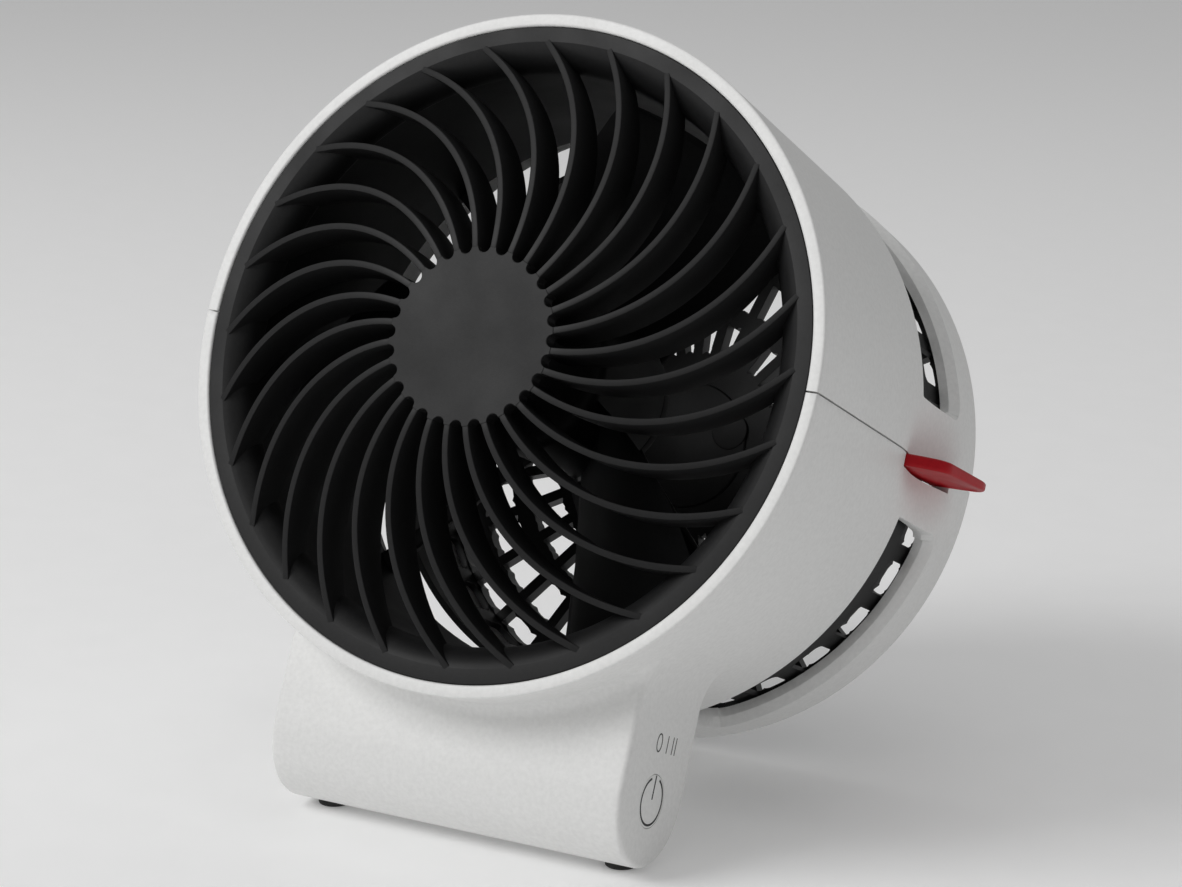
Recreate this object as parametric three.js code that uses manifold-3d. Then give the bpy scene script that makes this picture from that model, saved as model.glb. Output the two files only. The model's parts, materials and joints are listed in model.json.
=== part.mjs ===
// A small desk fan. A white drum of two half shells lies on its side, tipped back, on a slab foot.
// The drum's own frame is used for every piece: x to the right, y to the rear along the fan's axis,
// z square to both, with the origin at the centre of the drum's front rim. Lengths are millimetres.
import * as THREE from 'three';
import { mergeVertices } from 'three/addons/utils/BufferGeometryUtils.js';
import Module from 'manifold-3d';

const wasm = await Module();
wasm.setup();

// Driving dimensions.
const TILT = 22;                 // degrees that the fan's axis looks up
const RIM_RADIUS = 75;           // drum, outside, at the front
const TAIL_RADIUS = 70.4;        // drum, outside, at the rear
const DRUM_LENGTH = 110.6;
const WALL = 2.8;
const TAIL_WALL = 4.2;           // thicker ring behind the side slots
const GAP = 0.3;                 // clearance between neighbouring pieces
const BITE = 0.5;                // how far joined pieces run into each other
const RIM_BEVEL = 0.8;
const PARTING = 0.2;             // each half shell stops this far from the parting plane
const SLOT = { from: 11, to: 69, front: 68.4, back: 97 };
const SCOOP = { radius: 75, depth: 1.6, y: 80 };

const BASE = { half: 43.5, front: 14.5, back: 45.5, round: 15.5, y: 30, z: -86, flare: 5, neck: -56, top: -45 };
const CHAMBER = { half: 40, front: 20, back: 41, floor: -94, roof: -77 };
const WINDOW = { half: 36, floor: -88, roof: -78.5, ledge: 42.3, inset: 1.3, jamb: 6 };
const COVER = { front: 42.6, back: 45.1 };
const CABLE = { radius: 0.9, hole: 3 };
const BOSS = { x: 32, radius: 2.3, front: 35 };
const INLET = { x: -18, half: 4, front: 33, back: 45, high: 3.2, skin: 0.5 };
const FOOT = { x: 36.5, radius: 3.7, proud: 1.2, sunk: 1.5 };
const TAIL_FOOT = { y: 106, radius: 3, sunk: 1.5 };

const GRILLE = { ringInner: 68.7, ringOuter: 71.9, face: 0.3, depth: 7, hub: 18.2, hubFace: -12.5, hubThick: 3 };
const MOUTH = [[66.6, 1.5], [65, 3.3], [64, 5.2]];    // radius and y down the ring's rounded inner side
const FIN = { count: 28, thickness: 1.4, depth: 11.5, sweep: 32, curve: 1.4, dome: 1.5, firstTip: -9.25 };
const DUCT = { lip: 69.8, inner: 63.5, wall: 1.8, front: 7.4, throat: 15, rear: 53 };
const STRUT = { count: 4, first: 45, front: 50, back: 53, width: 4, plate: 17 };
const TAIL_GRILLE = { radius: 65.9, front: 102, back: 106, rings: [15, 33, 49, 62.6], bar: 3.2, spokes: 12 };

const HUB = { radius: 19, inner: 17.4, front: 13, face: 2.5, rear: 46, boss: 3.4, bossEnd: 22 };
const BLADE = { count: 3, tip: 61.5, front: 16, rear: 45, lead: -16, trail: -81, sweep: 22, curve: 0.75,
  thickness: 1.8 };
const SHAFT = { radius: 1, front: 16, rear: 51.6 };
const ROTOR = { outer: 17.1, inner: 16.4, front: 15.9, rear: 45 };
const MAGNET = { outer: 16.1, inner: 14.6, front: 24, rear: 42 };
const STATOR = { outer: 14.2, inner: 5.1, root: 7.2, front: 28, rear: 40, teeth: 6, tooth: 2.4, shoe: 1.6,
  spread: 22 };
const COIL = { width: 1.5, from: 7.6, to: 12.2 };
const BEARING = { outer: 3.3, length: 4, front: 24.5, rear: 45.7 };
const CLIP = { outer: 2.6, from: 30, to: 330, front: 50.6, back: 51.2 };
const TUBE = { outer: 4.8, inner: 3.6, front: 24 };
const BOARD = { outer: 13.5, inner: 5.1, front: 44, thick: 1.6 };

const TAB = { top: -0.3, thick: 2.9, inner: 61, flange: 1.9, collar: 2.5, front: 63, back: 96, edge: 81.4 };
const HINGE = { x: -75.6, knuckle: 2.6, pin: 1, front: 64, split: [72, 86], back: 94, web: 1.6 };
const KEY = { y: 29.75, z: -87, radius: 4.9, stem: 1.5, stemUp: 2.8, inner: 39.5, stemEnd: 37.3, flange: 6, lip: 1 };
const PANEL = { half: 36, front: 21, back: 40.7, top: -86.4, thick: 1.6, screwX: 25, post: 2.6 };
const SWITCH = { left: 30.5, right: 35.6, half: 3, knob: 1.2, knobLong: 1.5 };
const SCREW = { radius: 1.2, head: 2.4, headHigh: 1.2, boardShank: 5, coverShank: 6 };

// Finishes: colour, roughness, metalness.
const WHITE_PLASTIC = [0xdcdcda, 0.42, 0];
const BLACK_PLASTIC = [0x2f3031, 0.45, 0];
const INNER_PLASTIC = [0x1b1c1d, 0.55, 0];
const RED_PLASTIC = [0xb5101c, 0.4, 0];
const RUBBER = [0x1d1d1d, 0.85, 0];
const STEEL = [0xb4b6b9, 0.35, 1];
const LAMINATE = [0x6c6f73, 0.5, 1];
const COPPER = [0xb4652c, 0.35, 1];
const CIRCUIT = [0x1f5a3a, 0.5, 0];
const JACKET = [0x222324, 0.6, 0];

const DEGREE = Math.PI / 180;
const ROUND = 56;                // sides of a full circle on the large rings
const SMALL_ROUND = 14;          // and on the small turned pieces
const FAR = 200;                 // longer than the object, for cutting tools

const ALONG_X = new THREE.Matrix4().makeBasis(
  new THREE.Vector3(0, 1, 0), new THREE.Vector3(0, 0, 1), new THREE.Vector3(1, 0, 0));
const ALONG_Y = new THREE.Matrix4().makeBasis(
  new THREE.Vector3(1, 0, 0), new THREE.Vector3(0, 0, 1), new THREE.Vector3(0, -1, 0));

// The drum's outer radius, y behind its front rim.
function drumRadius(y) {
  return RIM_RADIUS + (TAIL_RADIUS - RIM_RADIUS) * y / DRUM_LENGTH;
}

// A point in the drum's frame from its radius and angle about the axis (0 is right, 90 is up).
function polar(radius, degrees, y) {
  return [radius * Math.cos(degrees * DEGREE), y, radius * Math.sin(degrees * DEGREE)];
}

// Vertices and triangles to a solid, with triangles that have collapsed to a line left out.
function weld(positions, indices) {
  const kept = [];
  for (let i = 0; i < indices.length; i += 3) {
    const [a, b, c] = [indices[i], indices[i + 1], indices[i + 2]];
    if (a !== b && b !== c && c !== a) kept.push(a, b, c);
  }
  return new wasm.Manifold(new wasm.Mesh({
    numProp: 3, vertProperties: new Float32Array(positions), triVerts: new Uint32Array(kept),
  }));
}

// Any closed three.js geometry to a solid.
function solid(geometry) {
  geometry.deleteAttribute('normal');
  geometry.deleteAttribute('uv');
  const merged = mergeVertices(geometry);
  return weld(merged.attributes.position.array, merged.index.array);
}

// A solid turned about the drum's axis: points are [radius, y], anticlockwise.
function turned(points, sides = ROUND) {
  return solid(new THREE.LatheGeometry(points.map(([r, y]) => new THREE.Vector2(r, y)), sides));
}

// A plain ring, or a disc where the inner radius is 0.
function ring(inner, outer, front, back, sides = ROUND) {
  const points = [[inner, front], [outer, front], [outer, back], [inner, back]];
  return turned(inner > 0 ? [...points, points[0]] : points, sides);
}

// A box between two corners.
function block(x0, x1, y0, y1, z0, z1) {
  const geometry = new THREE.BoxGeometry(x1 - x0, y1 - y0, z1 - z0);
  return solid(geometry.translate((x0 + x1) / 2, (y0 + y1) / 2, (z0 + z1) / 2));
}

// A round bar from one point along x, y or z.
function bar(axis, radius, from, length, sides = SMALL_ROUND) {
  const geometry = new THREE.CylinderGeometry(radius, radius, length, sides).translate(0, length / 2, 0);
  if (axis === 'x') geometry.rotateZ(-Math.PI / 2);
  if (axis === 'z') geometry.rotateX(Math.PI / 2);
  return solid(geometry.translate(...from));
}

// An outline in x and z, pushed through from y0 to y1.
function pushedY(shape, y0, y1, curveSegments = 8) {
  const geometry = new THREE.ExtrudeGeometry(shape, { depth: y1 - y0, bevelEnabled: false, curveSegments });
  return solid(geometry.applyMatrix4(ALONG_Y).translate(0, y1, 0));
}

// An outline in y and z, pushed through from x0 to x1.
function pushedX(shape, x0, x1, curveSegments = 8) {
  const geometry = new THREE.ExtrudeGeometry(shape, { depth: x1 - x0, bevelEnabled: false, curveSegments });
  return solid(geometry.applyMatrix4(ALONG_X).translate(x0, 0, 0));
}

// Part of a ring between two angles in degrees.
function sector(inner, outer, from, to, y0, y1, curveSegments = 16) {
  const shape = new THREE.Shape();
  shape.absarc(0, 0, outer, from * DEGREE, to * DEGREE, false);
  shape.absarc(0, 0, inner, to * DEGREE, from * DEGREE, true);
  shape.closePath();
  return pushedY(shape, y0, y1, curveSegments);
}

// The closed body between two surfaces, each a point for u and v from 0 to 1.
function between(near, far, rows, columns) {
  const positions = [];
  for (const side of [near, far]) {
    for (let i = 0; i <= rows; i++) {
      for (let j = 0; j <= columns; j++) positions.push(...side(i / rows, j / columns));
    }
  }
  const at = (side, i, j) => (side * (rows + 1) + i) * (columns + 1) + j;
  const triangles = [];
  const quad = (a, b, c, d) => triangles.push(a, b, c, a, c, d);
  for (let i = 0; i < rows; i++) {
    for (let j = 0; j < columns; j++) {
      quad(at(0, i, j), at(0, i + 1, j), at(0, i + 1, j + 1), at(0, i, j + 1));
      quad(at(1, i, j), at(1, i, j + 1), at(1, i + 1, j + 1), at(1, i + 1, j));
    }
    quad(at(0, i, 0), at(1, i, 0), at(1, i + 1, 0), at(0, i + 1, 0));
    quad(at(0, i, columns), at(0, i + 1, columns), at(1, i + 1, columns), at(1, i, columns));
  }
  for (let j = 0; j < columns; j++) {
    quad(at(0, 0, j), at(0, 0, j + 1), at(1, 0, j + 1), at(1, 0, j));
    quad(at(0, rows, j), at(1, rows, j), at(1, rows, j + 1), at(0, rows, j + 1));
  }
  const body = weld(positions, triangles);
  return body.volume() > 0 ? body : weld(positions, triangles.reverse());
}

// The same solid, turned about the drum's axis.
function spun(piece, degrees) {
  return piece.rotate([0, -degrees, 0]);
}

// Every solid in a list, joined.
function joined(pieces) {
  return pieces.reduce((whole, piece) => whole.add(piece));
}

// A screw: a shank with a flat round head, its head on the far side from the tip.
function screw(axis, headCentre, shank, towards) {
  const head = bar(axis, SCREW.head, headCentre, SCREW.headHigh);
  const start = [...headCentre];
  const index = 'xyz'.indexOf(axis);
  start[index] += towards > 0 ? 0 : -shank;
  return head.add(bar(axis, SCREW.radius, start, shank + SCREW.headHigh));
}

// Housing ------------------------------------------------------------------------------------

// The whole drum before it is split: a tapered tube with a thicker ring behind the slots.
function drum() {
  const step = SLOT.back - WALL;
  return turned([
    [RIM_RADIUS - WALL, 0], [RIM_RADIUS - RIM_BEVEL, 0], [RIM_RADIUS, RIM_BEVEL], [TAIL_RADIUS, DRUM_LENGTH],
    [TAIL_RADIUS - TAIL_WALL, DRUM_LENGTH], [TAIL_RADIUS - TAIL_WALL, SLOT.back],
    [drumRadius(step) - WALL, step], [RIM_RADIUS - WALL, 0],
  ]);
}

// The four slots in the sides, two in each half.
function sideSlots() {
  const depth = 2 * TAIL_WALL;
  const cuts = [0, 90, 180, 270].map((quarter) => {
    const from = quarter % 180 === 0 ? SLOT.from : 90 - SLOT.to;
    return sector(TAIL_RADIUS - depth, RIM_RADIUS + depth, quarter + from, quarter + from + SLOT.to - SLOT.from,
      SLOT.front, SLOT.back);
  });
  return joined(cuts);
}

// The shallow dish pressed into the side around the release tab, for a fingertip.
function fingerScoop() {
  const ball = new THREE.SphereGeometry(SCOOP.radius, 36, 24);
  return solid(ball.translate(drumRadius(SCOOP.y) - SCOOP.depth + SCOOP.radius, SCOOP.y, 0));
}

function halfSpace(up) {
  return up ? block(-FAR, FAR, -FAR, FAR, PARTING, FAR) : block(-FAR, FAR, -FAR, FAR, -FAR, -PARTING);
}

// One knuckle of the side hinge, with its web to the shell on the upper or lower side.
function knuckle(front, back, up) {
  const reach = drumRadius(back) - WALL / 2;
  const web = up ? [HINGE.web - HINGE.knuckle / 2, HINGE.knuckle] : [-HINGE.knuckle, HINGE.knuckle / 2 - HINGE.web];
  return bar('y', HINGE.knuckle, [HINGE.x, front, 0], back - front)
    .add(block(HINGE.x, -reach, front, back, web[0], web[1]));
}

function knuckleClearance(front, back) {
  return bar('y', HINGE.knuckle + GAP, [HINGE.x, front - GAP, 0], back - front + 2 * GAP);
}

function pinHole() {
  return bar('y', HINGE.pin + GAP, [HINGE.x, HINGE.front - GAP, 0], HINGE.back - HINGE.front + 2 * GAP);
}

function upperShell() {
  const [first, last] = HINGE.split;
  return drum().subtract(sideSlots()).subtract(fingerScoop()).intersect(halfSpace(true))
    .subtract(knuckleClearance(HINGE.front, first))
    .subtract(knuckleClearance(last, HINGE.back))
    .add(knuckle(first + GAP, last - GAP, true))
    .subtract(pinHole());
}

// The slab foot: its side view meets its front view, so both outlines are kept.
function baseSlab() {
  const side = new THREE.Shape();
  side.moveTo(BASE.front, BASE.top);
  side.lineTo(BASE.front, BASE.z);
  side.absarc(BASE.y, BASE.z, BASE.round, Math.PI, 2 * Math.PI, false);
  side.lineTo(BASE.back, BASE.top);
  side.closePath();
  const wide = BASE.half + BASE.flare;
  const front = new THREE.Shape();
  front.moveTo(-wide, BASE.top);
  front.lineTo(-wide, BASE.neck);
  front.quadraticCurveTo(-BASE.half, BASE.neck, -BASE.half, BASE.neck - 2 * BASE.flare);
  front.lineTo(-BASE.half, -FAR);
  front.lineTo(BASE.half, -FAR);
  front.lineTo(BASE.half, BASE.neck - 2 * BASE.flare);
  front.quadraticCurveTo(BASE.half, BASE.neck, wide, BASE.neck);
  front.lineTo(wide, BASE.top);
  front.closePath();
  const inside = turned([[0, 0], [drumRadius(0) - WALL, 0], [drumRadius(BASE.back + WALL) - WALL, BASE.back + WALL],
    [0, BASE.back + WALL]]);
  return pushedX(side, -FAR, FAR, 10).intersect(pushedY(front, 0, FAR, 4)).subtract(inside);
}

// The room inside the foot, its rear window, and the hole that leads the motor's cable up.
function baseRoom() {
  const { half, floor, roof, ledge, inset, jamb } = WINDOW;
  return joined([
    block(-CHAMBER.half, CHAMBER.half, CHAMBER.front, CHAMBER.back, CHAMBER.floor, CHAMBER.roof),
    block(-half + jamb, half - jamb, CHAMBER.back - 1, ledge + 1, floor + inset, roof - inset),
    block(-half, half, ledge, BASE.back + WALL, floor, roof),
    bar('z', CABLE.hole, [0, BASE.y, CHAMBER.roof - 1], -CHAMBER.roof - RIM_RADIUS + 2 * WALL + 1),
    bar('x', KEY.radius + GAP, [CHAMBER.half - 1, KEY.y, KEY.z], WALL * 2),
  ]);
}

// Two posts that carry the control panel, with blind holes for its screws.
function panelPosts() {
  const seat = PANEL.top - PANEL.thick - GAP;
  return joined([-1, 1].map((side) => bar('z', PANEL.post, [side * PANEL.screwX, BASE.y, CHAMBER.floor - BITE],
    seat - CHAMBER.floor + BITE).subtract(
    bar('z', SCREW.radius + GAP, [side * PANEL.screwX, BASE.y, CHAMBER.floor + 1], FAR))));
}

// A bar on each side behind the window's ledge: a boss, or the hole for a cover screw in it.
function coverBosses(radius, front, length) {
  const middle = (WINDOW.floor + WINDOW.roof) / 2;
  return joined([-1, 1].map((side) => bar('y', radius, [side * BOSS.x, front, middle], length)));
}

// The release tab seen from above, with its two outer corners rounded, grown on every free side.
function tabOutline(grow) {
  const corner = (TAB.back - TAB.front) / 5;
  const [front, back, edgeX] = [TAB.front - grow, TAB.back + grow, TAB.edge + grow];
  const edge = new THREE.Shape();
  edge.moveTo(TAB.inner, front);
  edge.lineTo(edgeX - corner, front);
  edge.quadraticCurveTo(edgeX, front, edgeX, front + corner);
  edge.lineTo(edgeX, back - corner);
  edge.quadraticCurveTo(edgeX, back, edgeX - corner, back);
  edge.lineTo(TAB.inner, back);
  edge.closePath();
  return edge;
}

// A shape drawn in x and y, laid flat between two heights.
function layered(shape, low, high) {
  const geometry = new THREE.ExtrudeGeometry(shape, { depth: high - low, bevelEnabled: false, curveSegments: 6 });
  return solid(geometry.translate(0, 0, low));
}

// The tab, with the collar inside the wall that keeps it from pulling right out.
function releaseTab() {
  const low = TAB.top - TAB.thick;
  const collar = block(TAB.inner, TAB.inner + TAB.flange, TAB.front - TAB.collar, TAB.back + TAB.collar,
    low, TAB.top);
  return layered(tabOutline(0), low, TAB.top).add(collar);
}

// The pocket in the lower shell's edge that the tab slides in.
function tabPocket() {
  return layered(tabOutline(GAP), TAB.top - TAB.thick - GAP, PARTING);
}

// A round plug square to the surface that the fan stands on, from a point upwards.
function upright(radius, height, x, y, z) {
  const geometry = new THREE.CylinderGeometry(radius, radius, height, SMALL_ROUND);
  return solid(geometry.translate(0, height / 2, 0).rotateX(Math.PI / 2).rotateX(TILT * DEGREE)
    .translate(x, y, z));
}

// The lowest line of the foot's round underside once the fan is tipped back.
const LOWEST = [BASE.y + BASE.round * Math.sin(TILT * DEGREE), BASE.z - BASE.round * Math.cos(TILT * DEGREE)];
const UP = [-Math.sin(TILT * DEGREE), Math.cos(TILT * DEGREE)];

// A front foot, or with grow the recess that it sits in.
function frontFoot(side, grow) {
  return upright(FOOT.radius + grow, FOOT.proud + FOOT.sunk + grow, side * FOOT.x,
    LOWEST[0] - UP[0] * FOOT.proud, LOWEST[1] - UP[1] * FOOT.proud);
}

// The rear foot under the drum's tail, which reaches down to the level of the front feet.
function rearFoot(grow) {
  const table = LOWEST[0] * UP[0] + LOWEST[1] * UP[1] - FOOT.proud;
  const wall = -drumRadius(TAIL_FOOT.y);
  const drop = TAIL_FOOT.y * UP[0] + wall * UP[1] - table;
  return upright(TAIL_FOOT.radius + grow, drop + TAIL_FOOT.sunk + grow, 0,
    TAIL_FOOT.y - UP[0] * drop, wall - UP[1] * drop);
}

function lowerShell() {
  const [first, last] = HINGE.split;
  const cuts = [sideSlots(), fingerScoop(), tabPocket(), knuckleClearance(first, last), baseRoom(),
    frontFoot(-1, GAP), frontFoot(1, GAP), rearFoot(GAP)];
  return drum().intersect(halfSpace(false)).add(baseSlab()).subtract(joined(cuts))
    .add(knuckle(HINGE.front, first, false))
    .add(knuckle(last, HINGE.back, false))
    .add(panelPosts())
    .add(coverBosses(BOSS.radius, BOSS.front, WINDOW.ledge - BOSS.front))
    .subtract(coverBosses(SCREW.radius + GAP, BOSS.front + 1, BASE.back - BOSS.front))
    .subtract(pinHole());
}

// Air path -----------------------------------------------------------------------------------

// How far forward the grille's dome stands at a radius.
function domeAt(radius) {
  const share = (radius - GRILLE.hub) / (GRILLE.ringInner - GRILLE.hub);
  return GRILLE.hubFace + (GRILLE.face - GRILLE.hubFace) * Math.max(share, 0) ** FIN.dome;
}

// One curved fin from the hub out to the ring. It turns faster as it nears the ring.
function fin(index) {
  const start = GRILLE.hub - FIN.thickness;
  const end = GRILLE.ringInner;
  const tip = FIN.firstTip + index * 360 / FIN.count;
  const side = (offset) => (u, v) => {
    const radius = start + (end - start) * u;
    const angle = tip - FIN.sweep + FIN.sweep * u ** FIN.curve;
    const front = domeAt(radius);
    const depth = FIN.depth + (GRILLE.depth - GRILLE.face - FIN.depth) * u ** 3;
    const along = angle + offset / radius / DEGREE;
    return polar(radius, along, front + depth * v);
  };
  return between(side(-FIN.thickness / 2), side(FIN.thickness / 2), 5, 1);
}

function frontGrille() {
  const outer = turned([[GRILLE.ringInner, GRILLE.face], [GRILLE.ringOuter, GRILLE.face],
    [GRILLE.ringOuter - GAP, GRILLE.depth], [DUCT.inner, GRILLE.depth], ...[...MOUTH].reverse(),
    [GRILLE.ringInner, GRILLE.face]]);
  const hub = ring(0, GRILLE.hub, GRILLE.hubFace, GRILLE.hubFace + GRILLE.hubThick, 28);
  const fins = Array.from({ length: FIN.count }, (_, index) => fin(index));
  return wasm.Manifold.union([outer, hub, ...fins]);
}

// The duct round the impeller, with the struts and the plate that hold the motor behind it.
function airDuct() {
  const wall = turned([[DUCT.inner, DUCT.front], [DUCT.lip, DUCT.front],
    [DUCT.inner + DUCT.wall, DUCT.throat], [DUCT.inner + DUCT.wall, DUCT.rear], [DUCT.inner, DUCT.rear],
    [DUCT.inner, DUCT.front]]);
  const struts = Array.from({ length: STRUT.count }, (_, index) => spun(
    block(STRUT.plate - BITE, DUCT.inner + BITE, STRUT.front, STRUT.back, -STRUT.width / 2, STRUT.width / 2),
    STRUT.first + index * 360 / STRUT.count));
  const plate = ring(TUBE.inner, STRUT.plate, STRUT.front, STRUT.back, 36);
  const tube = ring(TUBE.inner, TUBE.outer, TUBE.front, STRUT.front + 1, SMALL_ROUND);
  return wasm.Manifold.union([wall, plate, tube, ...struts]);
}

// The guard across the rear: rings joined by spokes, with a round boss in the middle.
function rearGrille() {
  const rings = TAIL_GRILLE.rings.map((inner) => ring(inner, Math.min(inner + TAIL_GRILLE.bar, TAIL_GRILLE.radius),
    TAIL_GRILLE.front, TAIL_GRILLE.back, 42));
  const spokes = Array.from({ length: TAIL_GRILLE.spokes }, (_, index) => spun(
    block(TAIL_GRILLE.rings[0] + 1, TAIL_GRILLE.radius - 1, TAIL_GRILLE.front, TAIL_GRILLE.back,
      -TAIL_GRILLE.bar / 2, TAIL_GRILLE.bar / 2), index * 360 / TAIL_GRILLE.spokes));
  const boss = ring(0, TAIL_GRILLE.rings[0] + 1, TAIL_GRILLE.front, TAIL_GRILLE.back, 28);
  return wasm.Manifold.union([boss, ...rings, ...spokes]);
}

// Rotor --------------------------------------------------------------------------------------

// One broad blade, raked from its swept leading edge in front to its straight trailing edge behind.
function blade(index) {
  const root = HUB.radius - BITE;
  const side = (offset) => (u, v) => {
    const lead = BLADE.lead - BLADE.sweep * u ** BLADE.curve;
    const angle = index * 360 / BLADE.count + lead + (BLADE.trail - lead) * v;
    return polar(root + (BLADE.tip - root) * u, angle, BLADE.front + (BLADE.rear - BLADE.front) * v + offset);
  };
  return between(side(BLADE.thickness / 2), side(-BLADE.thickness / 2), 5, 6);
}

function impeller() {
  const cup = turned([[0, HUB.front], [HUB.radius, HUB.front], [HUB.radius, HUB.rear], [HUB.inner, HUB.rear],
    [HUB.inner, HUB.front + HUB.face], [HUB.boss, HUB.front + HUB.face], [HUB.boss, HUB.bossEnd],
    [SHAFT.radius + GAP, HUB.bossEnd], [SHAFT.radius + GAP, SHAFT.front - GAP], [0, SHAFT.front - GAP]], 40);
  const blades = Array.from({ length: BLADE.count }, (_, index) => blade(index));
  return wasm.Manifold.union([cup, ...blades]);
}

// Motor --------------------------------------------------------------------------------------

function statorCore() {
  const pitch = 360 / STATOR.teeth;
  const teeth = Array.from({ length: STATOR.teeth }, (_, index) => spun(
    block(STATOR.root - BITE, STATOR.outer - BITE, STATOR.front, STATOR.rear, -STATOR.tooth / 2, STATOR.tooth / 2),
    index * pitch));
  const shoes = Array.from({ length: STATOR.teeth }, (_, index) => sector(STATOR.outer - STATOR.shoe,
    STATOR.outer, index * pitch - STATOR.spread, index * pitch + STATOR.spread, STATOR.front, STATOR.rear, 5));
  return wasm.Manifold.union([ring(STATOR.inner, STATOR.root, STATOR.front, STATOR.rear, 24), ...teeth, ...shoes]);
}

// The winding on one tooth: a rectangular loop that clears it all round.
function coil(index) {
  const inner = STATOR.tooth / 2 + GAP;
  const outer = inner + COIL.width;
  const loop = block(COIL.from, COIL.to, STATOR.front - GAP - COIL.width, STATOR.rear + GAP + COIL.width, -outer, outer)
    .subtract(block(COIL.from - 1, COIL.to + 1, STATOR.front - GAP, STATOR.rear + GAP, -inner, inner));
  return spun(loop, index * 360 / STATOR.teeth);
}

// The lead from the motor's board, over the duct's rear edge and down into the foot.
function motorCable() {
  const route = [[0, 47.6, -9.5], [0, 48, -20], [0, 56, -28], [0, 60, -45], [0, 62, -61], [0, 59, -67.8],
    [0, 48, -68.3], [0, 36, -68.6], [0, 30.6, -71.5], [0, 30, -76], [0, 30, -84.6]];
  const path = new THREE.CatmullRomCurve3(route.map((point) => new THREE.Vector3(...point)));
  const section = new THREE.Shape();
  section.absarc(0, 0, CABLE.radius, 0, 2 * Math.PI, false);
  return solid(new THREE.ExtrudeGeometry(section, { steps: 44, extrudePath: path, curveSegments: 3 }));
}

// Foot ---------------------------------------------------------------------------------------

function controlBoard() {
  const low = PANEL.top - PANEL.thick;
  const holes = [-1, 1].map((side) => bar('z', SCREW.radius + GAP, [side * PANEL.screwX, BASE.y, low - 1], 4));
  return block(-PANEL.half, PANEL.half, PANEL.front, PANEL.back, low, PANEL.top).subtract(joined(holes));
}

// The key in the foot's end: a round cap, a flange that holds it in, and a stem for the switch.
function powerButton() {
  return joined([
    bar('x', KEY.radius, [KEY.inner - KEY.lip / 2, KEY.y, KEY.z], BASE.half - KEY.inner + KEY.lip / 2, 32),
    bar('x', KEY.flange, [KEY.inner - KEY.lip, KEY.y, KEY.z], KEY.lip, 32),
    bar('x', KEY.stem, [KEY.stemEnd, KEY.y, KEY.z + KEY.stemUp], KEY.inner - KEY.stemEnd),
  ]);
}

function tactSwitch() {
  const height = 2 * (KEY.z + KEY.stemUp - PANEL.top - GAP);
  const low = PANEL.top + GAP;
  return block(SWITCH.left, SWITCH.right, KEY.y - SWITCH.half, KEY.y + SWITCH.half, low, low + height)
    .add(bar('x', SWITCH.knob, [SWITCH.right - BITE, KEY.y, KEY.z + KEY.stemUp], SWITCH.knobLong));
}

// A hollow metal socket with the tongue left standing in its mouth.
function powerInlet() {
  const { x, half, front, back, high, skin } = INLET;
  const low = PANEL.top + GAP;
  const mouth = block(x - half + skin, x + half - skin, front + 1, back + 1, low + skin, low + high - skin);
  const tongue = block(x - half + 2 * skin, x + half - 2 * skin, front + skin, back - 1,
    low + (high - skin) / 2, low + (high + skin) / 2);
  return block(x - half, x + half, front, back, low, low + high).subtract(mouth).add(tongue);
}

function baseCover() {
  const middle = (WINDOW.floor + WINDOW.roof) / 2;
  const low = PANEL.top + GAP;
  const opening = block(INLET.x - INLET.half - GAP, INLET.x + INLET.half + GAP, COVER.front - 1, COVER.back + 1,
    low - GAP, low + INLET.high + GAP);
  const holes = [-1, 1].map((side) => bar('y', SCREW.radius + GAP, [side * BOSS.x, COVER.front - 1, middle], 6));
  return block(-WINDOW.half + GAP, WINDOW.half - GAP, COVER.front, COVER.back, WINDOW.floor + GAP, WINDOW.roof - GAP)
    .subtract(opening).subtract(joined(holes));
}

// Assembly -----------------------------------------------------------------------------------

const drumGroup = new THREE.Group();

// One named mesh with its own material.
function place(name, piece, [color, roughness, metalness]) {
  const mesh = piece.getMesh();
  const geometry = new THREE.BufferGeometry();
  geometry.setAttribute('position', new THREE.BufferAttribute(mesh.vertProperties, 3));
  geometry.setIndex(new THREE.BufferAttribute(mesh.triVerts, 1));
  const node = new THREE.Mesh(geometry, new THREE.MeshStandardMaterial({ color, roughness, metalness }));
  node.name = name;
  drumGroup.add(node);
}

place('upper_shell', upperShell(), WHITE_PLASTIC);
place('lower_shell', lowerShell(), WHITE_PLASTIC);
place('release_tab', releaseTab(), RED_PLASTIC);
place('hinge_pin', bar('y', HINGE.pin, [HINGE.x, HINGE.front, 0], HINGE.back - HINGE.front), STEEL);

place('front_grille', frontGrille(), BLACK_PLASTIC);
place('air_duct', airDuct(), INNER_PLASTIC);
place('rear_grille', rearGrille(), BLACK_PLASTIC);

place('impeller', impeller(), INNER_PLASTIC);
place('motor_shaft', bar('y', SHAFT.radius, [0, SHAFT.front, 0], SHAFT.rear - SHAFT.front), STEEL);
place('rotor_cup', ring(ROTOR.inner, ROTOR.outer, ROTOR.front, ROTOR.rear, 48), STEEL);
place('magnet_ring', ring(MAGNET.inner, MAGNET.outer, MAGNET.front, MAGNET.rear, 48), LAMINATE);
place('shaft_clip', sector(SHAFT.radius + GAP, CLIP.outer, CLIP.from, CLIP.to, CLIP.front, CLIP.back, 12), STEEL);
place('stator_core', statorCore(), LAMINATE);
for (let index = 0; index < STATOR.teeth; index++) place(`coil_${index + 1}`, coil(index), COPPER);
for (const [name, front] of [['bearing_front', BEARING.front], ['bearing_rear', BEARING.rear]]) {
  place(name, ring(SHAFT.radius + GAP, BEARING.outer, front, front + BEARING.length, SMALL_ROUND), STEEL);
}
place('motor_board', ring(BOARD.inner, BOARD.outer, BOARD.front, BOARD.front + BOARD.thick, 32), CIRCUIT);
place('motor_cable', motorCable(), JACKET);

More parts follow.
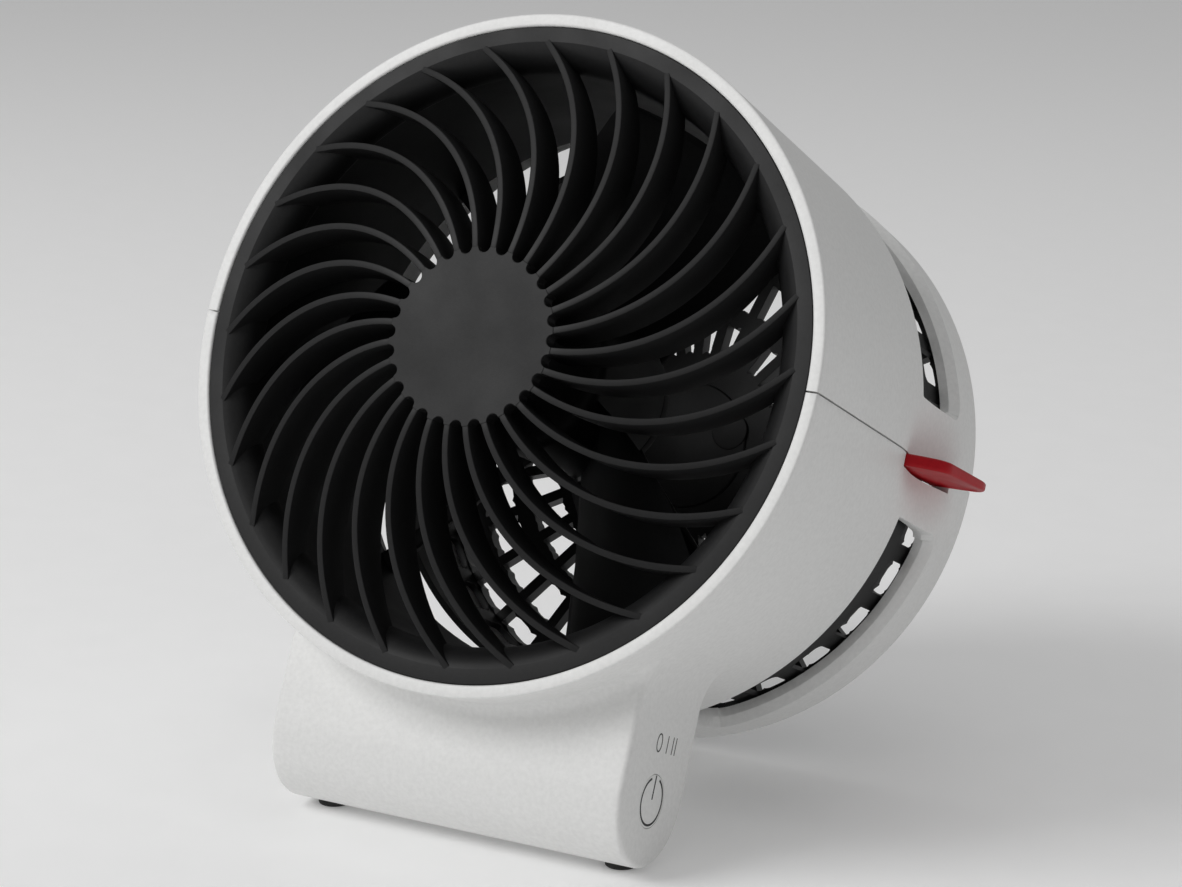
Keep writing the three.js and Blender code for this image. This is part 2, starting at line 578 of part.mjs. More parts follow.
place('control_board', controlBoard(), CIRCUIT);
place('tact_switch', tactSwitch(), STEEL);
place('power_button', powerButton(), WHITE_PLASTIC);
place('power_inlet', powerInlet(), STEEL);
place('base_cover', baseCover(), WHITE_PLASTIC);
for (const [side, word] of [[-1, 'left'], [1, 'right']]) {
  const seat = PANEL.top + GAP;
  const middle = (WINDOW.floor + WINDOW.roof) / 2;
  place(`board_screw_${word}`, screw('z', [side * PANEL.screwX, BASE.y, seat], SCREW.boardShank, -1), STEEL);
  place(`cover_screw_${word}`, screw('y', [side * BOSS.x, COVER.back + GAP, middle], SCREW.coverShank, -1), STEEL);
  place(`foot_${word}`, frontFoot(side, 0), RUBBER);
}
place('foot_rear', rearFoot(0), RUBBER);

drumGroup.rotation.x = -TILT * DEGREE;

// The fan stands with the bottom centre of its own box on the origin.
const fan = new THREE.Group();
fan.add(drumGroup);
const box = new THREE.Box3().setFromObject(fan, true);
const centre = box.getCenter(new THREE.Vector3());
drumGroup.position.set(-centre.x, -centre.y, -box.min.z);

export default fan;
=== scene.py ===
# %% [markdown]
# # A small desk fan
# The object is a white drum of two half shells, tipped back on a slab foot, with a black grille of curved
# fins in front. This lesson rebuilds what shows of it as surfaces worked out with numpy, and each one takes
# the place of a plain engineering solid that is already in the right place. First the frame is loaded: it
# holds the solids, the joints and the record.

# %% Load the frame
import json
import math
import bmesh
import bpy
import numpy as np
from mathutils import Euler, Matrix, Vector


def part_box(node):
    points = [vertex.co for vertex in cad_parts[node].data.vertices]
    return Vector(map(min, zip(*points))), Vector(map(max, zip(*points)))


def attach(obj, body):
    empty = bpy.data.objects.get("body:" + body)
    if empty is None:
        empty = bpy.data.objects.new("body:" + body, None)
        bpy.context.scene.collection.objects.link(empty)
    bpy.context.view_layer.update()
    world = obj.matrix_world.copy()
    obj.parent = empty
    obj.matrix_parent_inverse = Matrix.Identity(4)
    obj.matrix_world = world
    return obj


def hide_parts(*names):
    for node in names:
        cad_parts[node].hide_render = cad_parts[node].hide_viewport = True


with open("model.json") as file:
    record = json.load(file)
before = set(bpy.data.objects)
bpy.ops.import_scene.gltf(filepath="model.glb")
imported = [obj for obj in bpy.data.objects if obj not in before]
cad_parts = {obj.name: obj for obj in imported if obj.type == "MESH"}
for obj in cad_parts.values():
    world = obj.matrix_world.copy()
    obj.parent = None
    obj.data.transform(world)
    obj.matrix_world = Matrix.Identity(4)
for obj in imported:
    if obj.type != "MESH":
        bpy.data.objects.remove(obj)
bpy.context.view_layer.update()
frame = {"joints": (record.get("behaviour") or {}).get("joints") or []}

# %% [markdown]
# ## The drum's own frame
# Everything on this fan lies square to the drum, and the drum lies tipped. So each shape is worked out in
# the drum's frame, in millimetres: x to the right, y to the rear along the axis, z square to both, from the
# centre of the front rim. The impeller's joint says where that axis is, and one matrix takes points to the
# world.

# %% From the drum's frame to the world
MM = 0.001
PIVOT_BEHIND_RIM = 30
joints = {joint["name"]: joint for joint in frame["joints"]}
BACK = np.array(joints["impeller_spin"]["axis"])
RIGHT = np.array([1.0, 0.0, 0.0])
UP = np.cross(RIGHT, BACK)
RIM_CENTRE = np.array(joints["impeller_spin"]["pos_m"]) - PIVOT_BEHIND_RIM * MM * BACK
TILT = math.atan2(-BACK[2], BACK[1])


def to_world(points):
    """Rim centre plus x along RIGHT, y along BACK and z along UP, from millimetres to metres."""
    return RIM_CENTRE + MM * np.asarray(points, float) @ np.stack([RIGHT, BACK, UP])


def polar(radius, degrees, y):
    """A point at a radius and an angle about the drum's axis: 0 is right, 90 is up."""
    angle = np.radians(degrees)
    radius, angle, y = np.broadcast_arrays(radius, angle, y)
    return np.stack([radius * np.cos(angle), y * np.ones_like(radius), radius * np.sin(angle)], -1)


print("the drum's axis looks up by", round(math.degrees(TILT), 2), "degrees")

# %% [markdown]
# ## Camera
# The camera stands in front, to the right and a little above, with a long lens, so the round rim stays
# nearly round. Its place is given from the rim's centre, so it keeps to the fan.

# %% Camera
CAMERA_FROM_RIM = np.array([320.3, -563.4, 125.6])
CAMERA_TURN = [77.33, -1.877, 28.202]
LENS_MM = 94.06
camera = bpy.data.objects.new("camera", bpy.data.cameras.new("camera"))
bpy.context.scene.collection.objects.link(camera)
camera.location = RIM_CENTRE + MM * CAMERA_FROM_RIM
camera.rotation_euler = Euler([math.radians(turn) for turn in CAMERA_TURN])
camera.data.lens = LENS_MM
camera.data.clip_start = 0.01
bpy.context.scene.camera = camera
print("camera:", round(float(np.linalg.norm(CAMERA_FROM_RIM))), "mm from the rim's centre")

# %% [markdown]
# ## Finishes
# The real fan is moulded plastic. White ABS has a fine satin texture, so light spreads a little and no two
# patches are quite alike. One function makes every moulded finish: a noise at the size of the mould's
# texture drives the bump, a broader one shifts the roughness, and a third, very faint, shifts the colour.

# %% Materials
NOISE_LOW, NOISE_HIGH = 0.3, 0.7
DRIFT_PER_METRE = 60
PATCH_IN_GRAINS = 3
PLASTIC_RELIEF_MM = 0.1
METAL_RELIEF_MM = 0.05
COAT_ROUGHNESS = 0.25


def new_material(name):
    """A node material, its tree and its shader."""
    material = bpy.data.materials.new(name)
    material.use_nodes = True
    return material, material.node_tree, material.node_tree.nodes["Principled BSDF"]


def set_inputs(node, values):
    """Give each named input its value."""
    for key, value in values.items():
        node.inputs[key].default_value = value


def noise(tree, scale, detail=2.0):
    """A noise on Object coordinates; scale is features per metre."""
    place = tree.nodes.new("ShaderNodeTexCoord")
    texture = tree.nodes.new("ShaderNodeTexNoise")
    set_inputs(texture, {"Scale": scale, "Detail": detail})
    tree.links.new(place.outputs["Object"], texture.inputs["Vector"])
    return texture.outputs["Fac"]


def remap(tree, value, low, high, target):
    """The range where a noise mostly lies, stretched in proportion from low to high, drives the target."""
    node = tree.nodes.new("ShaderNodeMapRange")
    set_inputs(node, {"From Min": NOISE_LOW, "From Max": NOISE_HIGH, "To Min": low, "To Max": high})
    tree.links.new(value, node.inputs["Value"])
    tree.links.new(node.outputs["Result"], target)


def bump(tree, shader, height, strength, relief_mm):
    """The slope of a height tilts the shader's normals, by a strength and a depth of relief."""
    node = tree.nodes.new("ShaderNodeBump")
    set_inputs(node, {"Strength": strength, "Distance": relief_mm * MM})
    tree.links.new(height, node.inputs["Height"])
    tree.links.new(node.outputs["Normal"], shader.inputs["Normal"])


def moulded(name, colour, roughness, grain_mm=0.35, relief=0.12, shift=0.04, coat=0.0, shine=0.5):
    """Satin plastic: fine grain in the bump, a broad drift in roughness and a faint one in colour."""
    material, tree, shader = new_material(name)
    drift = noise(tree, DRIFT_PER_METRE, 4.0)
    remap(tree, drift, roughness - 0.05, roughness + 0.06, shader.inputs["Roughness"])
    mix = tree.nodes.new("ShaderNodeMix")
    mix.data_type = "RGBA"
    set_inputs(mix, {"A": (*[c * (1 - shift) for c in colour], 1),
                     "B": (*[min(c * (1 + shift), 1.0) for c in colour], 1)})
    remap(tree, noise(tree, 1 / (PATCH_IN_GRAINS * grain_mm * MM)), 0, 1, mix.inputs["Factor"])
    tree.links.new(mix.outputs["Result"], shader.inputs["Base Color"])
    bump(tree, shader, noise(tree, 1 / (grain_mm * MM), 3.0), relief, PLASTIC_RELIEF_MM)
    set_inputs(shader, {"Specular IOR Level": shine, "Coat Weight": coat, "Coat Roughness": COAT_ROUGHNESS})
    return material


def metal(name, colour, roughness, grain_mm=0.2):
    """Plated or stacked metal: one fine noise drives both the bump and the roughness."""
    material, tree, shader = new_material(name)
    set_inputs(shader, {"Base Color": (*colour, 1), "Metallic": 1.0})
    grain = noise(tree, 1 / (grain_mm * MM))
    remap(tree, grain, roughness - 0.08, roughness + 0.1, shader.inputs["Roughness"])
    bump(tree, shader, grain, 0.15, METAL_RELIEF_MM)
    return material


WHITE = moulded("white_abs", (0.80, 0.80, 0.79), 0.42, shift=0.035)
BLACK = moulded("black_abs", (0.011, 0.011, 0.0113), 0.48, grain_mm=0.3, relief=0.16, shift=0.12, shine=0.25)
INNER = moulded("inner_abs", (0.008, 0.008, 0.0083), 0.5, grain_mm=0.4, relief=0.14, shift=0.15, shine=0.15)
RED = moulded("red_abs", (0.40, 0.006, 0.012), 0.42, grain_mm=0.3, relief=0.05, shift=0.06, shine=0.15)
RUBBER = moulded("foot_rubber", (0.022, 0.022, 0.022), 0.78, grain_mm=0.5, relief=0.3, shift=0.2)
INK = moulded("printed_ink", (0.016, 0.016, 0.017), 0.6, grain_mm=0.2, relief=0.05, shift=0.1)
STEEL = metal("plated_steel", (0.55, 0.56, 0.58), 0.3)
LAMINATE = metal("stacked_steel", (0.16, 0.17, 0.18), 0.45, grain_mm=0.35)
COPPER = metal("enamelled_copper", (0.50, 0.19, 0.07), 0.3, grain_mm=0.3)
CIRCUIT = moulded("circuit_lacquer", (0.012, 0.10, 0.045), 0.3, grain_mm=1.2, relief=0.2, shift=0.3, coat=0.4)
JACKET = moulded("cable_jacket", (0.02, 0.02, 0.022), 0.5, relief=0.1, shift=0.1)
print("materials:", len(bpy.data.materials))

# %% [markdown]
# ## From arrays to a piece
# A surface is a grid of points, and its faces join each point to its next neighbours. Several grids make
# one closed piece: points that meet are merged, and the normals are worked out again so that they face
# outwards.

# %% Building a mesh
MERGE_MM = 0.002
SLIVER_MM = 0.001
TINY = 1e-9


def grid_faces(rows, columns, wrap=False):
    """Quads between row i and i + 1, column j and j + 1; wrap joins the last row to the first."""
    i = np.arange(rows if wrap else rows - 1)[:, None]
    j = np.arange(columns - 1)[None, :]
    a = i * columns + j
    b = (i + 1) % rows * columns + j
    return np.stack([a, b, b + 1, a + 1], -1).reshape(-1, 4)


def sheet_of(points, wrap=False):
    """A grid of points with its faces."""
    return points.reshape(-1, 3), grid_faces(points.shape[0], points.shape[1], wrap)


def piece(name, parts, body, nodes, material, bevel=0.0, sharp=35):
    """One Blender object from (points, faces) pairs: merged, facing out, smooth but for sharp edges."""
    starts = np.cumsum([0] + [len(points) for points, _ in parts[:-1]])
    points = np.concatenate([points for points, _ in parts])
    faces = np.concatenate([faces + start for (_, faces), start in zip(parts, starts)])
    mesh = bpy.data.meshes.new(name)
    mesh.from_pydata(to_world(points).tolist(), [], faces.tolist())
    shape = bmesh.new()
    shape.from_mesh(mesh)
    bmesh.ops.remove_doubles(shape, verts=shape.verts, dist=MERGE_MM * MM)
    bmesh.ops.dissolve_degenerate(shape, edges=shape.edges, dist=SLIVER_MM * MM)
    loose = [vertex for vertex in shape.verts if not vertex.link_faces]
    bmesh.ops.delete(shape, geom=loose, context="VERTS")
    bmesh.ops.recalc_face_normals(shape, faces=shape.faces)
    shape.to_mesh(mesh)
    shape.free()
    mesh.shade_smooth()
    mesh.set_sharp_from_angle(angle=math.radians(sharp))
    mesh.materials.append(material)
    made = bpy.data.objects.new(name, mesh)
    bpy.context.scene.collection.objects.link(made)
    if bevel:
        rounding = made.modifiers.new("edges", "BEVEL")
        rounding.width = bevel * MM
        rounding.segments = 3
        rounding.limit_method = "ANGLE"
        rounding.angle_limit = math.radians(sharp)
        rounding.harden_normals = True
    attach(made, body)
    if nodes:
        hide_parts(*nodes)
    print(f"{name}: {len(mesh.vertices)} points, {len(mesh.polygons)} faces")
    return made


# %% [markdown]
# ## Turned shapes
# Rings, discs, knobs and feet are profiles carried round an axis. A profile's corners are rounded first:
# each corner becomes a short arc, because no moulded edge is truly sharp.

# %% Profiles and turning
NEARLY_HALF = 0.49


def rounded(corners, radii, steps=4):
    """A closed outline with each corner replaced by a quadratic curve that starts a radius before it."""
    corners = np.asarray(corners, float)
    radii = np.broadcast_to(radii, len(corners))
    outline = []
    for index, corner in enumerate(corners):
        before = corners[index - 1] - corner
        after = corners[(index + 1) % len(corners)] - corner
        reach = min(radii[index], np.linalg.norm(before) * NEARLY_HALF, np.linalg.norm(after) * NEARLY_HALF)
        start = corner + before / np.linalg.norm(before) * reach
        end = corner + after / np.linalg.norm(after) * reach
        t = np.linspace(0, 1, steps + 1)[:, None]
        bend = (1 - t) ** 2 * start + 2 * t * (1 - t) * corner + t ** 2 * end
        outline.append(bend if reach > 0 else corner[None])
    return np.concatenate(outline)


def turned(profile, steps=96, centre=(0, 0), span=(0, 360)):
    """A closed profile of [radius, y] carried round an axis along y, all the way or over a span."""
    whole = span[1] - span[0] >= 360
    angles = np.linspace(*span, steps + 1)
    angles = angles[:-1] if whole else angles
    profile = np.vstack([profile, profile[:1]])
    points = polar(profile[None, :, 0], angles[:, None], profile[None, :, 1])
    points = points + np.array([centre[0], 0, centre[1]])
    return sheet_of(points, wrap=whole)


def stack(loops):
    """Closed loops of points joined one to the next, with the first and last drawn in to their middles."""
    loops = [np.broadcast_to(loops[0].mean(0), loops[0].shape), *loops,
             np.broadcast_to(loops[-1].mean(0), loops[-1].shape)]
    return sheet_of(np.stack(loops, 1), wrap=True)


# %% [markdown]
# ## Sheets with windows
# The half shells have slots in their sides, and the rear guard is nearly all windows. Both are the same
# idea: a grid whose lines run along the edges of each window, with the cells inside left out. The grid is
# pulled round near a window's corners, so that a square corner becomes an arc. Several levels, from the
# outer skin to the inner one, share the grid, and walls join them round each window and round the sheet's
# edge.

# %% Sheets with windows
def spread(start, end, corner, step, corner_steps=5):
    """Grid lines across a window: close together within a corner's radius of each side, then wider."""
    middle = np.linspace(start + corner, end - corner, max(int((end - start - 2 * corner) / step), 1) + 1)
    low = np.linspace(start, start + corner, corner_steps + 1)
    high = np.linspace(end - corner, end, corner_steps + 1)
    return np.concatenate([low[:-1], middle, high[1:]])


def pull_corners(s, t, window, radius, margin, scale):
    """Near a corner, the square distance from the arc's centre becomes a round one, fading over margin."""
    s0, s1, t0, t1 = window
    for side_s, edge_s in ((-1, s0), (1, s1)):
        for side_t, edge_t in ((-1, t0), (1, t1)):
            r = radius[side_t]
            p = (s - edge_s) * side_s * scale + r
            q = (t - edge_t) * side_t + r
            square = np.maximum(p, q)
            near = (p > 0) & (q > 0) & (square < r + margin)
            weight = np.clip((r + margin - square) / margin, 0, 1)
            factor = np.where(near, 1 + (square / np.maximum(np.hypot(p, q), TINY) - 1) * weight, 1)
            s = s + np.where(near, (factor - 1) * p * side_s / scale, 0)
            t = t + np.where(near, (factor - 1) * q * side_t, 0)
    return s, t


def loop_of(i0, i1, j0, j1):
    """The grid indices round a rectangle, once, without repeating the first."""
    low = [(i, j0) for i in range(i0, i1)]
    right = [(i1, j) for j in range(j0, j1)]
    high = [(i, j1) for i in range(i1, i0, -1)]
    left = [(i0, j) for j in range(j1, j0, -1)]
    return np.array(low + right + high + left)


def windowed(levels, holes, wrap=False):
    """levels: grids of points from outer to inner. Skins are the first and last; walls join all of them."""
    rows, columns = levels[0].shape[:2]
    count = rows * columns
    solid = np.ones((rows if wrap else rows - 1, columns - 1), bool)
    for i0, i1, j0, j1 in holes:
        solid[i0:i1, j0:j1] = False
    skin = grid_faces(rows, columns, wrap)[solid.reshape(-1)]
    faces = [skin, skin + (len(levels) - 1) * count]
    loops = [loop_of(*hole) for hole in holes]
    if wrap:
        loops += [np.stack([np.arange(rows), np.full(rows, j)], 1) for j in (0, columns - 1)]
    else:
        loops.append(loop_of(0, rows - 1, 0, columns - 1))
    for loop in loops:
        a = loop[:, 0] % rows * columns + loop[:, 1]
        b = np.roll(a, -1)
        for level in range(len(levels) - 1):
            faces.append(np.stack([a, b, b + count, a + count], 1) + level * count)
    return np.concatenate([level.reshape(-1, 3) for level in levels]), np.concatenate(faces)


# %% [markdown]
# ## The two half shells
# The housing is a tube that narrows a little to the rear, split at the level of the axis. Behind the slots
# its wall is thicker, and the slot's edge there is chamfered: sharp at the front, soft at the rear. A
# shallow dish beside the release tab takes a fingertip.

# %% Housing dimensions
RIM_RADIUS = 75.0
TAIL_RADIUS = 70.4
DRUM_LENGTH = 110.6
RIM_WALL = 2.8
TAIL_WALL = 4.3
PARTING_DEGREES = 0.16
SLOT_DEGREES = (11.0, 69.0)
SLOT_FRONT = 68.4
SLOT_BACK = 97.8
SLOT_CHAMFER = 2.0
SLOT_CORNER = {-1: 0.8, 1: 5.0}
CORNER_FADE = 6.0
GRID_STEP = 1.8
RIM_ROUND = 0.5
THICKENS = {"from": 82.0, "over": 8.0}
SHELL_SHARP = 32
DISH = {"y": 79.0, "half_y": 24.0, "half_z": 17.0, "depth": 2.8, "inside": 0.65}


def drum_radius(y):
    """A straight line from the rim's radius to the tail's."""
    return RIM_RADIUS + (TAIL_RADIUS - RIM_RADIUS) * y / DRUM_LENGTH


def dish_depth(degrees, y):
    """A round hollow of cosine shape beside the tab, on the right only."""
    from_right = (degrees + 180) % 360 - 180
    away = np.hypot((y - DISH["y"]) / DISH["half_y"],
                    from_right * math.radians(1) * TAIL_RADIUS / DISH["half_z"])
    return DISH["depth"] * np.where(away < 1, (1 + np.cos(np.pi * away)) / 2, 0)


def round_off(distance, radius):
    """How far a rounded edge falls away at a distance from the edge: a quarter circle."""
    inside = np.clip(1 - distance / radius, 0, 1)
    return radius * (1 - np.sqrt(1 - inside ** 2))


print("the drum is", 2 * RIM_RADIUS, "mm across and", DRUM_LENGTH, "mm long")

# %% [markdown]
# Cutting the slots with a Boolean would leave long thin faces round them, which shade badly on a large
# white surface. So each half shell is a windowed sheet. The outer skin ends at the slot's edge, a middle
# level marks the foot of the chamfer, and the inner skin carries on from there. Both halves are one shape,
# turned.

# %% Half shell as a windowed sheet
def half_shell(first_degree):
    """Angle and y on a grid, with two slots; outer skin, foot of the chamfer, and inner skin."""
    scale = math.radians(1) * TAIL_RADIUS
    corner = SLOT_CORNER[1]
    ends = (SLOT_DEGREES, (180 - SLOT_DEGREES[1], 180 - SLOT_DEGREES[0]))
    slots = [spread(*end, corner / scale, GRID_STEP / scale)[:-1] for end in ends]
    arcs = [np.linspace(PARTING_DEGREES, ends[0][0], 9)[:-1], slots[0],
            np.linspace(ends[0][1], ends[1][0], 26)[:-1], slots[1],
            np.linspace(ends[1][1], 180 - PARTING_DEGREES, 9)]
    starts = np.cumsum([0] + [len(arc) for arc in arcs])
    degrees = np.concatenate(arcs)
    nose = RIM_ROUND * (1 - np.cos(np.linspace(0, np.pi / 2, 6)))
    lengths = [nose[:-1], np.linspace(RIM_ROUND, SLOT_FRONT, 40)[:-1],
               spread(SLOT_FRONT, SLOT_BACK, corner, GRID_STEP)[:-1], np.linspace(SLOT_BACK, DRUM_LENGTH, 9)]
    rows = np.cumsum([0] + [len(length) for length in lengths])
    y = np.concatenate(lengths)
    holes = [(starts[1], starts[2], rows[2], rows[3]), (starts[3], starts[4], rows[2], rows[3])]
    levels = []
    for inset in (0.0, SLOT_CHAMFER, SLOT_CHAMFER):
        s, t = np.meshgrid(degrees, y, indexing="ij")
        for (low, high), hole in zip(ends, holes):
            window = (slice(hole[0], hole[1] + 1), slice(hole[2], hole[3] + 1))
            share = (t[window] - SLOT_FRONT) / (SLOT_BACK - SLOT_FRONT)
            middle = (low + high) / 2
            reach = 1 - inset * share / scale / (high - low)
            s[window] = middle + (s[window] - middle) * reach
            t[window] = SLOT_FRONT + (t[window] - SLOT_FRONT) * (1 - inset / (SLOT_BACK - SLOT_FRONT))
            slot = (low, high, SLOT_FRONT, SLOT_BACK - inset)
            s, t = pull_corners(s, t, slot, SLOT_CORNER, CORNER_FADE, scale)
        levels.append((s + first_degree, t))
    return levels, holes


def shell_points(levels):
    """Outer radius less the dish and the rim's rounding; the others lie a chamfer or a wall inside it."""
    (s0, t0), (s1, t1), (s2, t2) = levels
    outer = drum_radius(t0) - dish_depth(s0, t0) - round_off(t0, RIM_ROUND)
    wall = RIM_WALL + (TAIL_WALL - RIM_WALL) * np.clip((t2 - THICKENS["from"]) / THICKENS["over"], 0, 1)
    middle = drum_radius(t1) - dish_depth(s1, t1) - wall / 2
    inner = drum_radius(t2) - DISH["inside"] * dish_depth(s2, t2) - wall + round_off(t2, RIM_ROUND)
    return [polar(outer, s0, t0), polar(middle, s1, t1), polar(inner, s2, t2)]


shells = {}
for node, body, first_degree in (("upper_shell", "lid", 0), ("lower_shell", "root", 180)):
    levels, slot_holes = half_shell(first_degree)
    shells[node] = piece(f"{node}_skin", [windowed(shell_points(levels), slot_holes)], body, [node],
                         WHITE, bevel=0.3, sharp=SHELL_SHARP)

# %% [markdown]
# ## The slab foot
# The foot is a slab with a round underside, and it grows out of the lower shell. Seen from the front its
# ends flare to meet the drum on an arc that touches both; its front and back meet the drum on fillets. Its
# outline, seen from the end, is carried along x. Near the ends the outline shrinks round a quarter circle,
# which is the rounded edge, and a cap closes each end.

# %% Foot dimensions
BASE = {"half": 43.5, "front": 14.5, "back": 45.5, "y": 30.0, "z": -86.0, "round": 15.5, "edge": 1.1}
FLARE_RADIUS = 14.0
NECK_FRONT = 3.5
NECK_BACK = 0.7
SUNK = 1.2
FOOT_SHARP = 50


def flare_width(z, y):
    """Extra half width: an arc that touches the end face and the drum, and stops at the drum."""
    drum = drum_radius(y)
    centre_z = -math.sqrt((drum + FLARE_RADIUS) ** 2 - (BASE["half"] + FLARE_RADIUS) ** 2)
    rise = np.clip(z - centre_z, 0, -centre_z * FLARE_RADIUS / (drum + FLARE_RADIUS))
    return FLARE_RADIUS - np.sqrt(FLARE_RADIUS ** 2 - rise ** 2)


def neck_fillet(below, radius):
    """Extra depth front or back: a quarter circle that ends at the drum's surface."""
    rise = np.clip(radius - below, 0, radius)
    return radius - np.sqrt(radius ** 2 - rise ** 2)


def foot_outline(shrink, edge_back, share, side):
    """One station: down the front, round the underside and up the back, at a share of the half width.

    shrink draws the outline in, and edge_back draws the station in from the end; side is -1 left and 1 right.
    """
    height = 1 - np.linspace(0, 1, 26) ** 2
    turn = np.linspace(np.pi, 2 * np.pi, 33)[1:-1]
    columns = []
    sides = ((BASE["front"] + shrink, -1, 1, NECK_FRONT), (BASE["back"] - shrink, 1, -1, NECK_BACK))
    for y, outward, order, fillet in sides:
        wide = BASE["half"] + flare_width(0, y)
        top = -np.sqrt(drum_radius(y) ** 2 - (share * wide) ** 2) + SUNK
        z = BASE["z"] + height * (top - BASE["z"])
        across = share * (BASE["half"] + flare_width(z, y) - edge_back) * side
        surface = -np.sqrt(drum_radius(y) ** 2 - across ** 2)
        depth = y + outward * neck_fillet(np.maximum(surface - z, 0), fillet)
        columns.append(np.stack([across, depth, z], 1)[::order])
    reach = BASE["round"] - shrink
    under = np.stack([np.full(len(turn), share * (BASE["half"] - edge_back) * side),
                      BASE["y"] + reach * np.cos(turn), BASE["z"] + reach * np.sin(turn)], 1)
    return np.concatenate([columns[0], under, columns[1]])


def foot_parts():
    """The outline carried from end to end, the two end caps, and the top hidden in the drum's wall."""
    phi = np.linspace(0, np.pi / 2, 6)
    ends = [(BASE["edge"] * (1 - math.cos(p)), BASE["edge"] * (1 - math.sin(p))) for p in phi]
    left = [foot_outline(shrink, back, 1, -1) for shrink, back in ends[::-1]]
    right = [foot_outline(shrink, back, 1, 1) for shrink, back in ends]
    across = [foot_outline(0, BASE["edge"], abs(share), math.copysign(1, share))
              for share in np.linspace(-1, 1, 49)[1:-1]]
    body = np.stack(left + across + right)
    half = body.shape[1] // 2
    w = np.linspace(0, 1, 9)[None, :, None]
    parts = [sheet_of(body)]
    for end in (0, -1):
        front, back = body[end, :half + 1, None], body[end, ::-1][:half + 1, None]
        parts.append(sheet_of(front + (back - front) * w))
    parts.append(sheet_of(body[:, :1] + (body[:, -1:] - body[:, :1]) * w))
    return parts


print("the foot is", 2 * BASE["half"], "mm wide and", 2 * BASE["round"], "mm thick")

# %% [markdown]
# The foot's back has a window for a cover, and its right end a round hole for the key. Both are cut with a
# Boolean, whose cutter is thrown away once the result is kept.

# %% Cutting a window and a hole
WINDOW = {"half": 36.0, "low": -88.0, "high": -78.5, "deep": 3.4}
KEY = {"y": 29.75, "z": -87.0, "radius": 5.75, "gap": 0.14, "hole": 3.0, "long": 4.0, "steps": 96}
PAST = 5.0


def box_part(x0, x1, y0, y1, z0, z1):
    """A closed box as six quads on eight corners."""
    corners = np.array([(x, y, z) for x in (x0, x1) for y in (y0, y1) for z in (z0, z1)], float)
    faces = np.array([(0, 1, 3, 2), (4, 6, 7, 5), (0, 4, 5, 1), (2, 3, 7, 6), (0, 2, 6, 4), (1, 5, 7, 3)])
    return corners, faces


def rod_part(radius, x0, x1, y, z, steps=64):
    """A closed round bar along x."""
    angles = np.linspace(0, 2 * np.pi, steps, endpoint=False)
    ring = np.stack([y + radius * np.cos(angles), z + radius * np.sin(angles)], 1)
    return stack([np.column_stack([np.full(steps, x), ring]) for x in (x0, x1)])


def cut(made, parts):
    """The piece less a closed cutter, with the cutter removed afterwards."""
    cutter = piece("cutter", parts, "root", [], WHITE)
    boolean = made.modifiers.new("cut", "BOOLEAN")
    boolean.operation = "DIFFERENCE"
    boolean.solver = "EXACT"
    boolean.object = cutter
    evaluated = made.evaluated_get(bpy.context.evaluated_depsgraph_get())
    result = bpy.data.meshes.new_from_object(evaluated)
    made.modifiers.clear()
    made.data = result
    bpy.data.objects.remove(cutter)


foot = piece("slab_foot", foot_parts(), "root", ["lower_shell"], WHITE, sharp=FOOT_SHARP)
cut(foot, [box_part(-WINDOW["half"], WINDOW["half"], BASE["back"] - WINDOW["deep"], BASE["back"] + PAST,
                    WINDOW["low"], WINDOW["high"])])
cut(foot, [rod_part(KEY["radius"] + KEY["gap"], BASE["half"] - KEY["hole"], BASE["half"] + KEY["hole"],
                    KEY["y"], KEY["z"])])
foot.data.set_sharp_from_angle(angle=math.radians(FOOT_SHARP))

# %% [markdown]
# ## Key and marks
# The key in the foot's end is a flat disc with a hairline gap round it. Its mark is the usual power symbol,
# an open ring and a stroke, and above it stand the speeds as 0, I and II. Each mark is a very thin printed
# ribbon: a flat section carried along the stroke's centre line.

# %% Key and marks
PRINT_PROUD = 0.03
STROKE = 0.5
POWER = {"radius": 5.1, "start": 112, "end": 428, "stroke_heights": (0.4, 2.4, 4.4, 5.6)}
SPEED = {"z": -74.5, "half": 1.9, "stroke": 0.32, "ring_y": -1.9, "ring_half": 1.2,
         "strokes_y": (2.2, 4.9, 6.4)}


def ribbon(path, width=STROKE, closed=False):
    """A path of (y, z) on the foot's end, widened to both sides and raised by the print's thickness."""
    path = np.asarray(path, float)
    ahead = np.roll(path, -1, 0) - np.roll(path, 1, 0) if closed else np.gradient(path, axis=0)
    ahead /= np.linalg.norm(ahead, axis=1, keepdims=True)
    side = np.stack([-ahead[:, 1], ahead[:, 0]], 1) * width / 2
    section = [(-1, -PRINT_PROUD), (1, -PRINT_PROUD), (1, PRINT_PROUD), (-1, PRINT_PROUD)]
    loops = np.stack([np.column_stack([np.full(len(path), BASE["half"] + lift), path + side * sign])
                      for sign, lift in section], 1)
    if closed:
        return sheet_of(np.concatenate([loops, loops[:, :1]], 1), wrap=True)
    return stack(list(loops))


def arc(y, z, radius_y, radius_z, start, end, steps=48):
    """An elliptical arc in degrees, 90 at the top."""
    angles = np.radians(np.linspace(start, end, steps))
    return np.stack([y + radius_y * np.cos(angles), z + radius_z * np.sin(angles)], 1)


